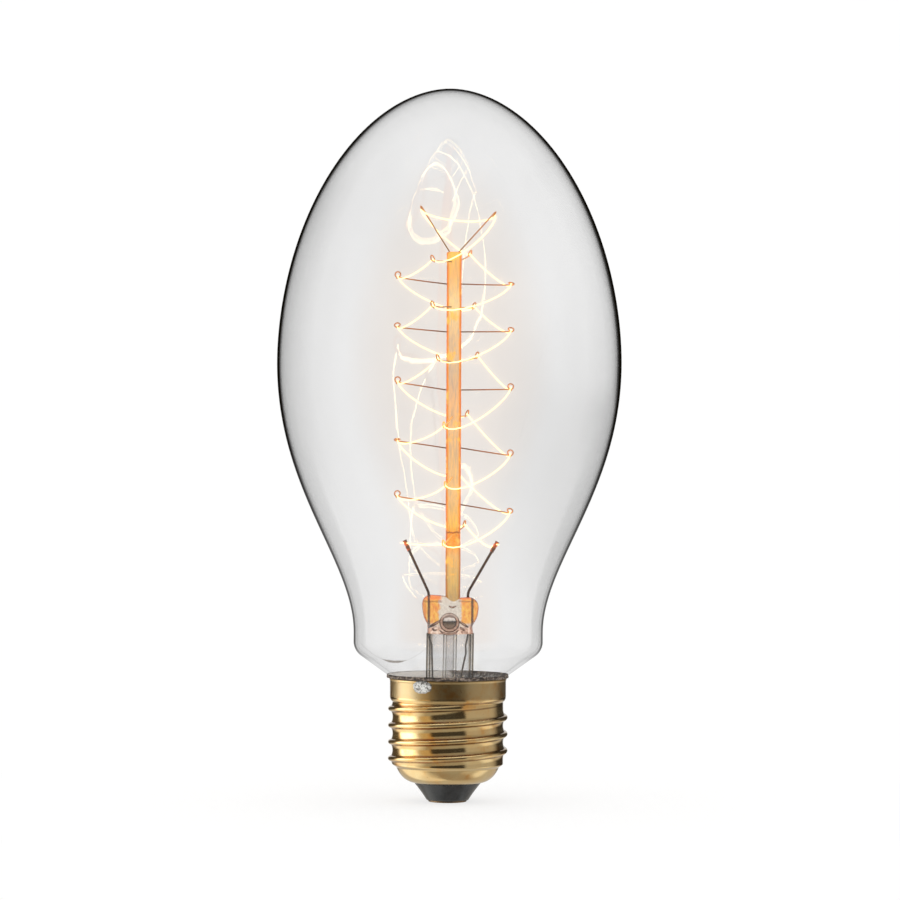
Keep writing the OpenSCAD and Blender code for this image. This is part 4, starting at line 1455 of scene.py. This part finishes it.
def set_world():
    """White all round, and for gloss alone a dim room with panels of light over a table. What is
    seen through both sides of the front glass mirrors a plain light room instead."""
    world = bpy.data.worlds.new("studio")
    scene.world = world
    look = Nodes(world)
    x, y, z = look.split(look.node("TexCoord").outputs["Generated"])
    turn = look.times(look.math("ARCTAN2", x, look.times(y, -1.0)), math.degrees(1))
    room = room_shade
    for panel in panels:
        room = hang(look, turn, z, room, panel)
    room = look.mix(look.ease(z, 0.7, 0.9), room, ceiling)
    turn_share = look.range(turn, -180, 180)
    under = look.ease(z, -0.74, -0.9)
    table = look.mix(under, look.ramp(turn_share, *table_ring), look.ramp(turn_share, *under_ring))
    room = look.mix(look.ease(z, -0.16, -0.34), room, table)
    room = hang(look, turn, z, room, dark_panel)
    path = look.node("LightPath").outputs
    room = look.mix(look.math("GREATER_THAN", path["Transparent Depth"], 1.5), room, glass_room)
    shown = look.mix(path["Is Glossy Ray"], white_level, room)
    strength = look.math("MULTIPLY_ADD", path["Is Diffuse Ray"], shade_level - 1, 1.0)
    back = look.node("Background", {"Color": shown, "Strength": strength}).outputs[0]
    look.node("OutputWorld", {"Surface": back})
    world.cycles.sampling_method = "NONE"


def make_floor():
    """Pale floor that is lit to the white of the backdrop away from the lamp. Gloss sees through
    it to the room's table."""
    steps = 96
    radii = [40, 80, 120, 160, 200, 260, 340, 500, 1000, 3000, 20000]
    points = [(0, 0, 0)]
    for r in radii:
        points += circle(r, 0, steps)
    faces = []
    for s in range(steps):
        t = (s + 1) % steps
        faces.append((0, 1 + s, 1 + t))
        for i in range(len(radii) - 1):
            low = 1 + i * steps
            faces.append((low + s, low + steps + s, low + steps + t, low + t))
    floor = make_piece("floor", points, faces)
    look = new_look("floor")
    x, y, _ = look.split(look.place)
    far = look.ease(look.away(x, y), 8.0, 120.0, 0.72, 1.0)
    paper = look.ramp(look.grain(0.02, 2.0), (0.3, 0.9), (0.7, 0.92))
    lit = look.node("BsdfDiffuse", {"Color": paper}).outputs[0]
    white = look.node("Emission", {"Color": white_level, "Strength": 1.0}).outputs[0]
    clear = look.node("BsdfTransparent").outputs[0]
    seen = look.mix_shader(far, lit, white)
    glossy = look.node("LightPath").outputs["Is Glossy Ray"]
    floor.data.materials.append(look.finish(look.mix_shader(glossy, seen, clear)))


set_world()
make_floor()

# Rendering

scene.view_settings.view_transform = "Standard"
scene.view_settings.look = "None"
scene.cycles.max_bounces = 24
scene.cycles.transmission_bounces = 24
scene.cycles.transparent_max_bounces = 48
scene.cycles.glossy_bounces = 6
# Brightness that blooms, and the size, strength and tint of each bloom
glow_from = 1.05
glows = [
    (0.12, 0.7, (1.0, 0.74, 0.34)),
    (0.45, 0.8, (1.0, 0.78, 0.42)),
]


def add_glow():
    """Soft bloom round the glowing wire, one close and one wide."""
    scene.use_nodes = True
    tree = scene.node_tree
    tree.nodes.clear()
    picture = tree.nodes.new("CompositorNodeRLayers").outputs["Image"]
    for size, strength, tint in glows:
        glare = tree.nodes.new("CompositorNodeGlare")
        glare.glare_type = "BLOOM"
        glare.quality = "HIGH"
        settings = {"Threshold": glow_from, "Strength": strength, "Tint": (*tint, 1), "Size": size}
        for key, value in settings.items():
            glare.inputs[key].default_value = value
        tree.links.new(picture, glare.inputs["Image"])
        picture = glare.outputs["Image"]
    out = tree.nodes.new("CompositorNodeComposite")
    tree.links.new(picture, out.inputs["Image"])


add_glow()
